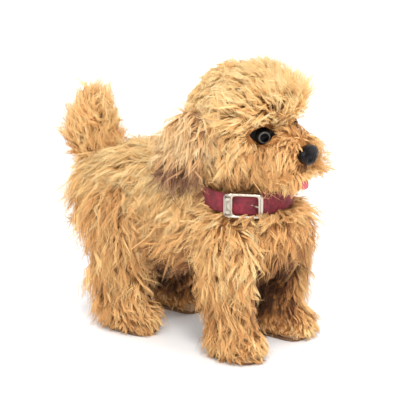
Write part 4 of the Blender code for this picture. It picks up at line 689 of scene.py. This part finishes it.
def basis(out, lean=0.0):
    """Right-handed axes with the third along out and the first near level."""
    along = unit(np.cross((0.0, 0.0, 1.0), out))
    up = np.cross(out, along)
    turned = along * math.cos(lean) + up * math.sin(lean)
    return np.stack([turned, np.cross(out, turned), out])


EYES = [node_middle("eyelid_left"), node_middle("eyelid_right")]
NOSE = np.array((0.0, -0.0866 + SETBACK, 0.1388))
NOSE_AXES = np.array(((-1.0, 0, 0), (0, 0, 1.0), (0, -1.0, 0)))


def clear_of_face(depth):
    """Ovals that the hair leaves clear: both eyes, up to a depth in front of them, and the nose."""
    ovals = []
    for _, side in SIDES:
        place, out = eye_frame(side)
        sight = eye_sight(out, side)
        ovals.append((place, basis(sight, side * EYE_TILT), (0.0104, 0.0062, -0.004, depth)))
    return ovals + [(NOSE, NOSE_AXES, (0.0080, 0.0062, 0.0005, 0.05))]


# ---- the coat, region by region ----
def body_coat():
    gold = fibre_material("coat_gold", GOLD_TIPS, GOLD_ROOTS)
    backing = backing_material("coat_backing", (0.46, 0.20, 0.060), (0.12, 0.042, 0.010))
    barrel = skin("body_backing", body_surface, 96, 90, 0.004)
    open_hatch(barrel)
    settle(barrel, "body", backing, ("body_plush",))

    def flow(point, normal):
        y = own_y(point)
        chest = ease(y, -0.035, -0.062)[:, None]
        run = toward(point[:, 0] * 16, 0.62, -0.62)
        front = toward(point[:, 0] * 14, -0.15, -1.0)
        return run * (1 - chest) + front * chest

    def tone(point, normal):
        # Painted light: the coat is lighter where it faces up, as if lit from above.
        light = 0.63 + 0.16 * normal[:, 2] + 0.08 * ripple(point, 90.0, 5)
        # Painted shade: the belly and low flanks darker from z = 84 mm down to 60 mm.
        under = ease(point[:, 2], 0.084, 0.060)
        # Painted shade on the low front of the chest, under the head.
        chest = ease(own_y(point), -0.030, -0.050) * ease(point[:, 2], 0.110, 0.096)
        # Painted highlight along the top of the rear half of the back.
        back = ease(normal[:, 2], 0.2, 0.8) * ease(own_y(point), -0.01, 0.01)
        return light - 0.50 * under - 0.20 * chest + 0.14 * back

    def bare(point, normal):
        y = own_y(point)
        reach = np.hypot(point[:, 0], y - NECK[1])
        strap = (point[:, 2] > 0.0965) & (y < -0.012) & (reach < 0.0272)
        return np.where(strap | over_hatch(point, 0.0125, -0.0560, 0.0255), 0.0, 1.0)

    def trim(point, normal):
        y = own_y(point)
        hatch = over_hatch(point, 0.021, -0.0600, 0.0300)
        collar = ease(point[:, 2], 0.080, 0.0965) * ease(y, -0.010, -0.03)
        rump = ease(y, 0.045, 0.080) * ease(point[:, 2], 0.060, 0.072)
        return np.where(hatch, 0.45, 1.0) * (1 - 0.25 * collar) * (1 + 0.40 * rump)

    look = {"length": 0.0190, "lift": 0.66, "fall": 0.46, "curl": 0.17, "swirl": 0.72, "wander": 240.0,
            "girth": 0.0016, "tone": tone, "trim": trim}
    quarters = (("fore_left", 1, -1), ("fore_right", -1, -1), ("hind_left", 1, 1), ("hind_right", -1, 1))
    for index, (label, across, along) in enumerate(quarters):
        def part(point, normal, across=across, along=along):
            inside = (point[:, 0] * across >= 0) & ((own_y(point) - 0.004) * along >= 0)
            return bare(point, normal) * inside
        coat("body_coat_" + label, "body", gold, body_surface, 1270, 100 + index, look, flow,
             part)
    return gold, backing


def over_hatch(points, half_width, front, back):
    """Whether places on the belly lie over the battery door and the switch, between two own ys."""
    y = own_y(points)
    return (np.abs(points[:, 0]) < half_width) & (y > front) & (y < back) & (points[:, 2] < 0.070)


def open_hatch(made):
    """Opens the backing over the battery door and the switch, and gives it a wall."""
    bm = bmesh.new()
    bm.from_mesh(made.data)
    middles = np.array([face.calc_center_median() for face in bm.faces])
    gone = [face for face, cut in zip(bm.faces, over_hatch(middles, 0.0112, -0.0545, 0.0240)) if cut]
    bmesh.ops.delete(bm, geom=gone, context="FACES")
    bm.to_mesh(made.data)
    bm.free()
    wall = made.modifiers.new("backing_wall", "SOLIDIFY")
    wall.thickness = 0.0008
    wall.offset = -1.0


def head_coat(gold, backing):
    settle(skin("head_backing", head_surface, 80, 60, 0.0), "head", backing, ("head_plush",))
    muzzle = egg_surface((0.0, -0.0660, 0.1390), (0.0205, 0.0200, 0.0145))
    settle(skin("muzzle_backing", muzzle, 56, 36), "head", backing)

    def brow_part(point):
        return ease(own_y(point), -0.034, -0.054) * ease(point[:, 2], 0.152, 0.162)

    def crown_flow(point, normal):
        y = own_y(point)
        out = toward(point[:, 0] * 30, (y + 0.026) * 30 + 0.25, -0.15)
        cheek = ease(point[:, 2], 0.158, 0.138)[:, None]
        down = toward(point[:, 0] * 16, (y + 0.040) * 8, -1.0)
        result = out * (1 - cheek) + down * cheek
        brow = brow_part(point)[:, None]
        swept = toward(point[:, 0] * 34 - 0.25, 0.60, 0.75)
        result = result * (1 - brow) + swept * brow
        for eye in EYES:
            away = point - eye
            gap = np.linalg.norm(away, axis=-1, keepdims=True)
            result = result + 2.2 * np.exp(-(gap / 0.010) ** 2) * away / gap
        return result

    def crown_tone(point, normal):
        # Painted light: the head lighter where it faces up.
        shade = 0.80 + 0.15 * normal[:, 2] + 0.07 * ripple(point, 90.0, 9)
        # Painted shade: the lower head darker below z = 142 mm, and the fur round the eyes darker, under the
        # brow.
        under = ease(point[:, 2], 0.142, 0.120)
        return shade + 0.01 - 0.38 * under - 0.14 * (1 - far_from(point, EYES, 0.006, 0.012))

    def crown_weight(point, normal):
        y = own_y(point)
        hidden = ((point[:, 0] / 0.0155) ** 2 + ((point[:, 2] - 0.1405) / 0.0118) ** 2 < 1) & (y < -0.04)
        low = point[:, 2] < 0.1185
        return far_from(point, EYES, 0.0078, 0.0012) * np.where(hidden | low, 0.0, 1.0)

    def crown_rise(point):
        return 1 + 1.1 * brow_part(point) * ease(point[:, 2], 0.184, 0.170)

    def crown_trim(point, normal):
        y = own_y(point)
        face = 0.38 + 0.62 * far_from(point, EYES, 0.007, 0.015)
        collar = np.where((point[:, 2] < 0.135) & (y < 0), 0.80, 1.0)
        brow = 1 + 0.75 * ease(point[:, 2], 0.156, 0.163) * ease(y, -0.034, -0.055)
        brow = brow * (1 - 0.42 * ease(point[:, 2], 0.164, 0.180))
        return face * collar * brow

    look = {"length": 0.0140, "lift": 0.95, "fall": 0.22, "curl": 0.15, "swirl": 0.68, "girth": 0.0018,
            "tone": crown_tone, "trim": crown_trim, "rise": crown_rise, "waves": 1.0, "width": 0.00024,
            "gather": 0.62, "partings": clear_of_face(0.05)}
    for label, side in SIDES:
        def part(point, normal, side=side):
            return crown_weight(point, normal) * (point[:, 0] * side >= 0)
        coat("head_coat_" + label, "head", gold, head_surface, 1620, 200 + side, look,
             crown_flow, part)

    def muzzle_flow(point, normal):
        result = toward(point[:, 0] * 55, -0.55, -0.65)
        top = ease(point[:, 2], 0.146, 0.151)[:, None]
        bridge = toward(point[:, 0] * 60, 0.55, 0.25)
        result = result * (1 - top) + bridge * top
        away = point - NOSE
        gap = np.linalg.norm(away, axis=-1, keepdims=True)
        return result + 1.6 * np.exp(-(gap / 0.009) ** 2) * away / gap

    def muzzle_tone(point, normal):
        # Painted shade: the fur darker close to the nose.
        near = np.exp(-(np.linalg.norm(point - NOSE, axis=-1) / 0.0095) ** 2)
        return 0.57 + 0.06 * ripple(point, 90.0, 11) - 0.42 * near

    def muzzle_weight(point, normal):
        y = own_y(point)
        mouth = (point[:, 2] < 0.1270) & (np.abs(point[:, 0]) < 0.006) & (y < -0.070)
        behind = y > -0.048
        return far_from(point, [NOSE], 0.0080, 0.001) * np.where(mouth | behind, 0.0, 1.0)

    def muzzle_trim(point, normal):
        nose = 0.42 + 0.58 * far_from(point, [NOSE], 0.008, 0.012)
        top = 1 - 0.35 * ease(point[:, 2], 0.144, 0.151)
        cheek = 1 + 0.55 * ease(np.abs(point[:, 0]), 0.008, 0.018)
        return nose * top * cheek * (0.6 + 0.4 * far_from(point, EYES, 0.006, 0.014))

    look = {"length": 0.0140, "lift": 0.85, "fall": 0.42, "curl": 0.14, "swirl": 0.50, "girth": 0.0013,
            "tone": muzzle_tone, "trim": muzzle_trim, "width": 0.00022, "rings": RINGS,
            "partings": clear_of_face(0.007)}
    coat("muzzle_coat", "head", gold, muzzle, 1050, 210, look, muzzle_flow, muzzle_weight)

    chin = egg_surface((0.0, -0.0710, 0.1235), (0.0120, 0.0115, 0.0055))
    settle(skin("chin_backing", chin, 40, 24), "jaw", backing, ("chin_plush",))

    def chin_flow(point, normal):
        return toward(point[:, 0] * 40, -0.12, -1.0)

    def chin_weight(point, normal):
        return np.where((point[:, 2] < 0.1275) & (own_y(point) < -0.064), 1.0, 0.0)

    look = {"length": 0.0085, "lift": 0.45, "fall": 0.7, "curl": 0.12, "swirl": 0.4, "girth": 0.0009,
            "tone": lambda point, normal: 0.58 + 0.05 * ripple(point, 90.0, 12), "width": 0.00023,
            "rings": RINGS}
    coat("chin_coat", "jaw", gold, chin, 230, 220, look, chin_flow, chin_weight)


def ear_coat():
    fibre = fibre_material("coat_ear", EAR_TIPS, EAR_ROOTS)
    backing = backing_material("ear_backing_cloth", (0.34, 0.19, 0.10), (0.12, 0.06, 0.035))
    lean = math.radians(32.0)
    for label, side in SIDES:
        surface = egg_surface((side * 0.0395, -0.0175, 0.1455), (0.0035, 0.0135, 0.0225), lean, 0.85)
        flap = skin("ear_backing_" + label, surface, 40, 30)
        settle(flap, "head", backing, ("ear_" + label,))

        def flow(point, normal):
            y = own_y(point)
            return toward(point[:, 0] * 9, (y + 0.0175) * 30 + 0.35, -0.8)

        def tone(point, normal):
            drop = ease(point[:, 2], 0.146, 0.128)
            return 0.93 - 0.80 * drop + 0.08 * ripple(point, 90.0, 15)

        look = {"length": 0.0175, "lift": 0.52, "fall": 0.46, "curl": 0.16, "swirl": 0.62, "girth": 0.0014,
                "tone": tone, "widest": WIDEST}
        coat("ear_coat_" + label, "head", fibre, surface, 520, 300 + side, look, flow)


def tail_coat(gold, backing):
    settle(skin("tail_backing", tail_surface, 48, 50, 0.0), "tail", backing, ("tail_plush",))

    def flow(point, normal):
        return toward(point[:, 0] * 20, (own_y(point) - 0.092) * 20, 0.85)

    def tone(point, normal):
        # Painted light: the tail lighter where it faces up.
        return 0.62 + 0.10 * normal[:, 2] + 0.08 * ripple(point, 90.0, 21)

    def trim(point, normal):
        return 1.0 - 0.05 * ease(point[:, 2], 0.120, 0.146)

    look = {"length": 0.0185, "lift": 0.80, "fall": -0.12, "curl": 0.18, "swirl": 0.75, "girth": 0.0015,
            "tone": tone, "trim": trim}
    coat("tail_coat", "tail", gold, tail_surface, 780, 400, look, flow)


def leg_coats(gold, backing):
    for end_index, (end, pivot_y, pivot_z, haunch) in enumerate(ENDS):
        for label, side in SIDES:
            tag = end + "_" + label
            surface = leg_surface(side, pivot_y, pivot_z, haunch)
            limb = skin("leg_backing_" + tag, surface, 48, 64, 0.0)
            settle(limb, "leg_" + tag, backing, ("leg_plush_" + tag,))

            def flow(point, normal, side=side, pivot_y=pivot_y):
                paw = ease(point[:, 2], 0.030, 0.012)
                across = (point[:, 0] - side * 0.027) * (8 + 30 * paw)
                along = (own_y(point) - pivot_y) * (6 + 30 * paw)
                return toward(across, along, -1.0 + 0.45 * paw)

            def weight(point, normal, side=side):
                inside = (normal[:, 0] * side < -0.2) & (point[:, 2] > 0.066)
                return np.where(inside, 0.0, np.where(normal[:, 2] < -0.75, 0.25, 1.0))

            def tone(point, normal, side=side):
                # Painted shade: the inner side of the leg much darker above the paw, and the foot a little
                # darker near the floor.
                inner = ease(normal[:, 0] * -side, -0.1, 0.6) * ease(point[:, 2], 0.008, 0.024)
                return (0.58 + 0.08 * ripple(point, 90.0, 31) - 0.72 * inner
                        - 0.10 * ease(point[:, 2], 0.014, 0.004))

            def trim(point, normal, side=side, end=end):
                hock = 0.55 * ease(normal[:, 1], 0.1, 0.8) * ease(point[:, 2], 0.012, 0.030)
                feather = 1 + (hock if end == "rear" else 0)
                inner = ease(normal[:, 0] * -side, 0.0, 0.6)
                low = 0.36 + 0.64 * ease(point[:, 2], 0.004, 0.030)
                return (1 - 0.45 * inner) * low * feather

            look = {"length": 0.0175, "lift": 0.66, "fall": 0.42, "curl": 0.18, "swirl": 0.78,
                    "wander": 240.0, "girth": 0.0015, "tone": tone, "trim": trim, "floor": 0.0007,
                    "widest": WIDEST}
            coat("leg_coat_" + tag, "leg_" + tag, gold, surface, 960,
                 500 + 10 * end_index + side, look, flow, weight)


# ---- face ----
def dome(name, centre, axes, radii, rows, columns, shape=None):
    """Ellipsoid: radii times the cosines and the sine of longitude and latitude, along the three axes,
    reshaped first by shape(local points) where one is given."""
    def surface(u, v):
        lat = np.pi * (v - 0.5)
        lon = 2 * np.pi * u
        local = toward(radii[0] * np.cos(lat) * np.cos(lon), radii[1] * np.cos(lat) * np.sin(lon),
                       radii[2] * np.sin(lat))
        return centre + (shape(local) if shape else local) @ axes
    return skin(name, surface, columns, rows, 0.002)


def mark(made, name, values):
    """Stores one number for each vertex, for the material to read."""
    layer = made.data.attributes.new(name, "FLOAT", "POINT")
    layer.data.foreach_set("value", np.ascontiguousarray(values, np.float32))


def iris_mark(made, centre, sight):
    """1 on a thin ring round the pupil, falling off as exp(-(angle from the ring / width) squared)."""
    angle = np.arccos(np.clip(unit(vertices(made) - centre) @ sight, -1, 1))
    return np.exp(-((angle - 0.72) / 0.085) ** 2)


def almond(local):
    """Narrows an oval toward its corners and curves it back: with r = |x| over its half length, y is
    scaled by 1 - 0.55 r to the power 2.2 and z goes back by 1.6 mm times r squared."""
    reach = np.abs(local[..., 0]) / 0.0100
    return toward(local[..., 0], local[..., 1] * (1 - 0.55 * reach ** 2.2),
                  local[..., 2] - 0.0016 * reach ** 2)


def muzzle_button(local):
    """Broadens a nose toward its top, and sinks two nostrils and a groove below them as bell curves."""
    up = local[..., 1] / 0.0068
    x, y, z = local[..., 0] * (1 + 0.22 * up - 0.10 * up ** 2), local[..., 1], local[..., 2]
    nostril = np.exp(-(((np.abs(x) - 0.0040) / 0.0016) ** 2 + ((y + 0.0012) / 0.0015) ** 2))
    groove = np.exp(-(x / 0.0006) ** 2) * (y < 0.001)
    return toward(x, y, z - (z > 0) * (0.0016 * nostril + 0.0007 * groove))


def face():
    bead = bead_material()
    felt = felt_material("eyelid_felt", (0.004, 0.003, 0.003), 0.010)
    for label, side in SIDES:
        centre, out = eye_frame(side)
        sight = eye_sight(out, side)
        middle = centre + sight * 0.0010
        made = dome("eye_bead_" + label, middle, basis(sight), (0.0060, 0.0060, 0.0048), 60, 72)
        mark(made, "iris", iris_mark(made, middle, sight))
        settle(made, "head", bead, ("eye_" + label,))
        made = dome("eyelid_patch_" + label, centre + sight * 0.0012, basis(sight, side * EYE_TILT),
                    (0.0100, 0.0056, 0.0020), 24, 56, almond)
        settle(made, "head", felt, ("eyelid_" + label,))
    made = dome("nose_button", NOSE, NOSE_AXES, (0.0092, 0.0068, 0.0058), 70, 120, muzzle_button)
    settle(made, "head", nose_material(), ("nose",))
    tongue()


def tongue():
    """Tongue: an oval section, cupped by 0.7 mm times the cosine squared, carried along a path that leaves
    the mouth and droops.  Its half width is 4.6 mm times the root of 1 - ((t - 0.55) / 0.47) to the 6th."""
    t = np.linspace(0, 1, 40)
    path = through(((0.0, -0.0660, 0.1290), (0.45, -0.0760, 0.1265), (0.70, -0.0815, 0.1228),
                    (0.86, -0.0845, 0.1190), (1.0, -0.0858, 0.1160)), t)
    wide = 0.0046 * np.clip(1 - ((t - 0.55) / 0.47) ** 6, 0, 1) ** 0.5 + 0.00005
    thick = np.full(len(t), 0.00062)
    thick[-3:] *= np.array((0.8, 0.5, 0.15))
    tangent = unit(np.gradient(path, axis=0))
    lon = around(28)
    up = thick[:, None] * np.sin(lon) + 0.0007 * np.cos(lon) ** 2 - 0.0003
    made = sheet("tongue_flap", toward(wide[:, None] * np.cos(lon),
                                       path[:, 0:1] - tangent[:, 1:2] * up + SETBACK,
                                       path[:, 1:2] + tangent[:, 0:1] * up))
    settle(made, "jaw", felt_material("tongue_pink", (0.50, 0.115, 0.14), 0.08), ("tongue",))


# ---- collar ----
def strap_radius(degrees):
    """Inner radius of the strap, which winds outward by 1.9 mm in a turn."""
    return 0.0276 + 0.0019 * (degrees - STRAP_START) / 360.0


def strap():
    """Band: a superelliptic section with rolled edges and a stitched line near each, wound 416 degrees
    round the neck at strap_radius, its last 6 degrees drawn in to a rounded end."""
    degrees = np.linspace(STRAP_START, STRAP_START + 416.0, 260)
    turn = np.radians(degrees)[:, None]
    section = around(48)
    high = 0.0065 * signed_power(np.cos(section), 0.22)
    deep = 0.0008 + 0.0008 * signed_power(np.sin(section), 0.45)
    seam = np.exp(-((np.abs(high) - 0.0052) / 0.00035) ** 2) * (np.sin(section) > 0)
    end = np.clip((degrees[-1] - degrees) / 6.0, 0, 1)[:, None]
    narrow = 0.42 + 0.58 * np.sqrt(1 - (1 - end) ** 2)
    stitch = 0.00022 * seam * (0.6 + 0.4 * np.sign(np.sin(degrees * 2.4))[:, None])
    radius = strap_radius(degrees)[:, None] + deep - stitch
    made = sheet("strap_band", toward(radius * np.cos(turn), NECK[1] + SETBACK + radius * np.sin(turn),
                                      COLLAR_Z + high * narrow))
    crimson = strap_material()
    settle(made, "body", crimson, ("collar_strap",))
    repaint(frame["nodes"]["collar_keeper"], crimson)


def buckle_axes():
    """Where the buckle lies on the strap, and its axes: along the strap, up, and out."""
    turn = math.radians(BUCKLE_AT)
    out = np.array((math.cos(turn), math.sin(turn), 0.0))
    along = np.array((-math.sin(turn), math.cos(turn), 0.0))
    level = strap_radius(BUCKLE_AT + 360.0) + 0.0016 + 0.0003
    base = np.array((0.0, NECK[1] + SETBACK, COLLAR_Z)) + out * level
    return base, np.stack([along, np.array((0.0, 0.0, 1.0)), out])


def buckle():
    """Frame: a flattened superelliptic section carried round between an outer and an inner superellipse,
    crowned by a parabola and broad on its bar, which bears the engraving; its underside is painted shade.
    Pin: a rod that rises at its far end."""
    base, axes = buckle_axes()
    s = around(300)
    outer_x = 0.0130 * signed_power(np.cos(s), 0.30)
    outer_y = 0.0086 * signed_power(np.sin(s), 0.30)
    inner_x = 0.0013 + 0.00825 * signed_power(np.cos(s), 0.26)
    inner_y = 0.0063 * signed_power(np.sin(s), 0.26)
    section = around(44)
    part = 0.5 + 0.5 * signed_power(np.cos(section), 0.6)
    rise = 0.5 + 0.5 * signed_power(np.sin(section), 0.6)
    x = inner_x[:, None] + (outer_x - inner_x)[:, None] * part
    y = inner_y[:, None] + (outer_y - inner_y)[:, None] * part
    crown = np.clip(1 - (2 * part - 1) ** 2, 0, 1)
    bar = ease(-x, 0.0072, 0.0078)
    relief = bar * 0.00028 * np.sin(y * 1100) * np.sin((x + 0.0105) * 1400) * (rise > 0.9)
    z = 0.0024 * rise + 0.0003 * crown * (rise > 0.5) + relief
    made = sheet("buckle_frame", base + toward(x, y, z) @ axes, ring=True)
    # rim: darker toward both edges of the frame's section.
    rim = 1 - np.clip(1.35 - np.abs(2 * part - 1), 0, 0.55) / 0.55
    panel = np.maximum(np.abs(x + 0.0101) / 0.00175, np.abs(y) / 0.0060)
    line = np.exp(-((panel - 1) / 0.13) ** 2) * (x < -0.0068)
    inner = np.exp(-((panel - 0.45) / 0.16) ** 2) * (x < -0.0068) * 0.7
    far = np.exp(-((x - 0.01125) / 0.00022) ** 2) * (np.abs(y) < 0.0062) * 0.8
    engraving_and_shade = np.clip(np.maximum(np.maximum(line, inner), far) + 0.55 * rim ** 3, 0, 1)
    # The underside, where the frame lies on the strap, is painted shade.
    mark(made, "engraving_and_shade", np.where(rise > 0.35, engraving_and_shade, 0.8).ravel())
    chrome = metal_material("buckle_metal", (0.52, 0.455, 0.38), 0.22, engraving_and_shade=True)
    settle(made, "body", chrome, ("collar_buckle",))
    t = np.linspace(0, 1, 30)[:, None]
    thick = 0.00085 * np.clip(1 - t ** 8, 0.05, 1) ** 0.5
    lon = around(18)
    local = toward(-0.0054 + 0.0158 * t, thick * np.cos(lon),
                   -0.0016 + 0.0041 * ease(t, 0.62, 0.95) + thick * np.sin(lon))
    made = sheet("buckle_pin", base + local @ axes)
    settle(made, "prong", chrome, ("collar_prong",))


# ---- hard pieces kept from the CAD ----
def repaint(node, material):
    node.data.materials.clear()
    node.data.materials.append(material)


def paint_frame():
    """Gives every CAD node that still shows the finish of its slot."""
    finishes = {"ivory_plastic": moulded_material("tan_plastic", (0.40, 0.235, 0.115), 0.48),
                "grey_plastic": moulded_material("grey_plastic", (0.16, 0.155, 0.15), 0.46),
                "black_plastic": moulded_material("black_plastic", (0.020, 0.019, 0.018), 0.40),
                "gear_white": moulded_material("gear_white", (0.80, 0.79, 0.74), 0.36),
                "steel": metal_material("zinc_steel", (0.58, 0.58, 0.57), 0.34),
                "sole_rubber": rubber_material(), "cell_jacket": jacket_material(),
                "board_green": board_material()}
    for part in frame["record"]["subparts"]:
        node = frame["nodes"][part["node"]]
        finish = finishes.get(part["material_slot"])
        if finish and not node.hide_render:
            repaint(node, finish)


# ---- studio ----
def studio():
    """White floor and surroundings, four lamps and the camera."""
    scene = bpy.context.scene
    bench = Bench("floor_paper")
    grain = bench.noise(40.0, 2.0)
    tone = bench.blend(grain.above(0.3, 0.4), (0.96, 0.96, 0.96), (0.98, 0.98, 0.98))
    paper = bench.finish(tone, 0.9, None, {"Specular IOR Level": 0.1})
    mesh = bpy.data.meshes.new("studio_floor")
    corners = [(x * 6.0, y * 6.0, 0) for x, y in ((-1, -1), (1, -1), (1, 1), (-1, 1))]
    mesh.from_pydata(corners, [], [(0, 1, 2, 3)])
    mesh.materials.append(paper)
    floor = bpy.data.objects.new("studio_floor", mesh)
    scene.collection.objects.link(floor)

    world = bpy.data.worlds.new("studio_white")
    world.use_nodes = True
    sky = world.node_tree.nodes["Background"].inputs
    sky[0].default_value = (1.0, 1.0, 1.0, 1.0)
    sky[1].default_value = 1.0
    scene.world = world
    lamps = (("key", (-0.85, -0.85, 1.25), 0.45, 16.0), ("fill", (0.9, -0.9, 0.8), 1.2, 4.0),
             ("back", (0.1, 1.1, 1.2), 1.0, 7.0), ("catch", (-1.15, -0.70, 0.62), 0.14, 3.0))
    for name, place, width, power in lamps:
        light = bpy.data.lights.new(name, "AREA")
        light.shape = "DISK"
        light.size = width
        light.energy = power
        stand(bpy.data.objects.new(name, light), place, (0.0, 0.0, 0.09))
    scene.view_settings.view_transform = "Standard"

    camera = bpy.data.cameras.new("camera")
    camera.sensor_width = 36.0
    camera.lens = camera.sensor_width * VIEW_DISTANCE / VIEW_WIDTH
    camera.clip_start = 0.01
    turn, rise = math.radians(-53.0), math.radians(17.5)
    target = np.array((0.0, SETBACK, 0.0922))
    back = np.array((math.sin(turn) * math.cos(rise), -math.cos(turn) * math.cos(rise), math.sin(rise)))
    scene.camera = stand(bpy.data.objects.new("camera", camera), target + back * VIEW_DISTANCE, target)


def stand(item, place, target):
    """Puts a lamp or the camera at a place, facing a target."""
    item.location = place
    item.rotation_euler = (Vector(target) - item.location).to_track_quat("-Z", "Y").to_euler()
    bpy.context.scene.collection.objects.link(item)
    return item


def main():
    studio()
    gold, backing = body_coat()
    head_coat(gold, backing)
    ear_coat()
    tail_coat(gold, backing)
    leg_coats(gold, backing)
    face()
    strap()
    buckle()
    paint_frame()


main()
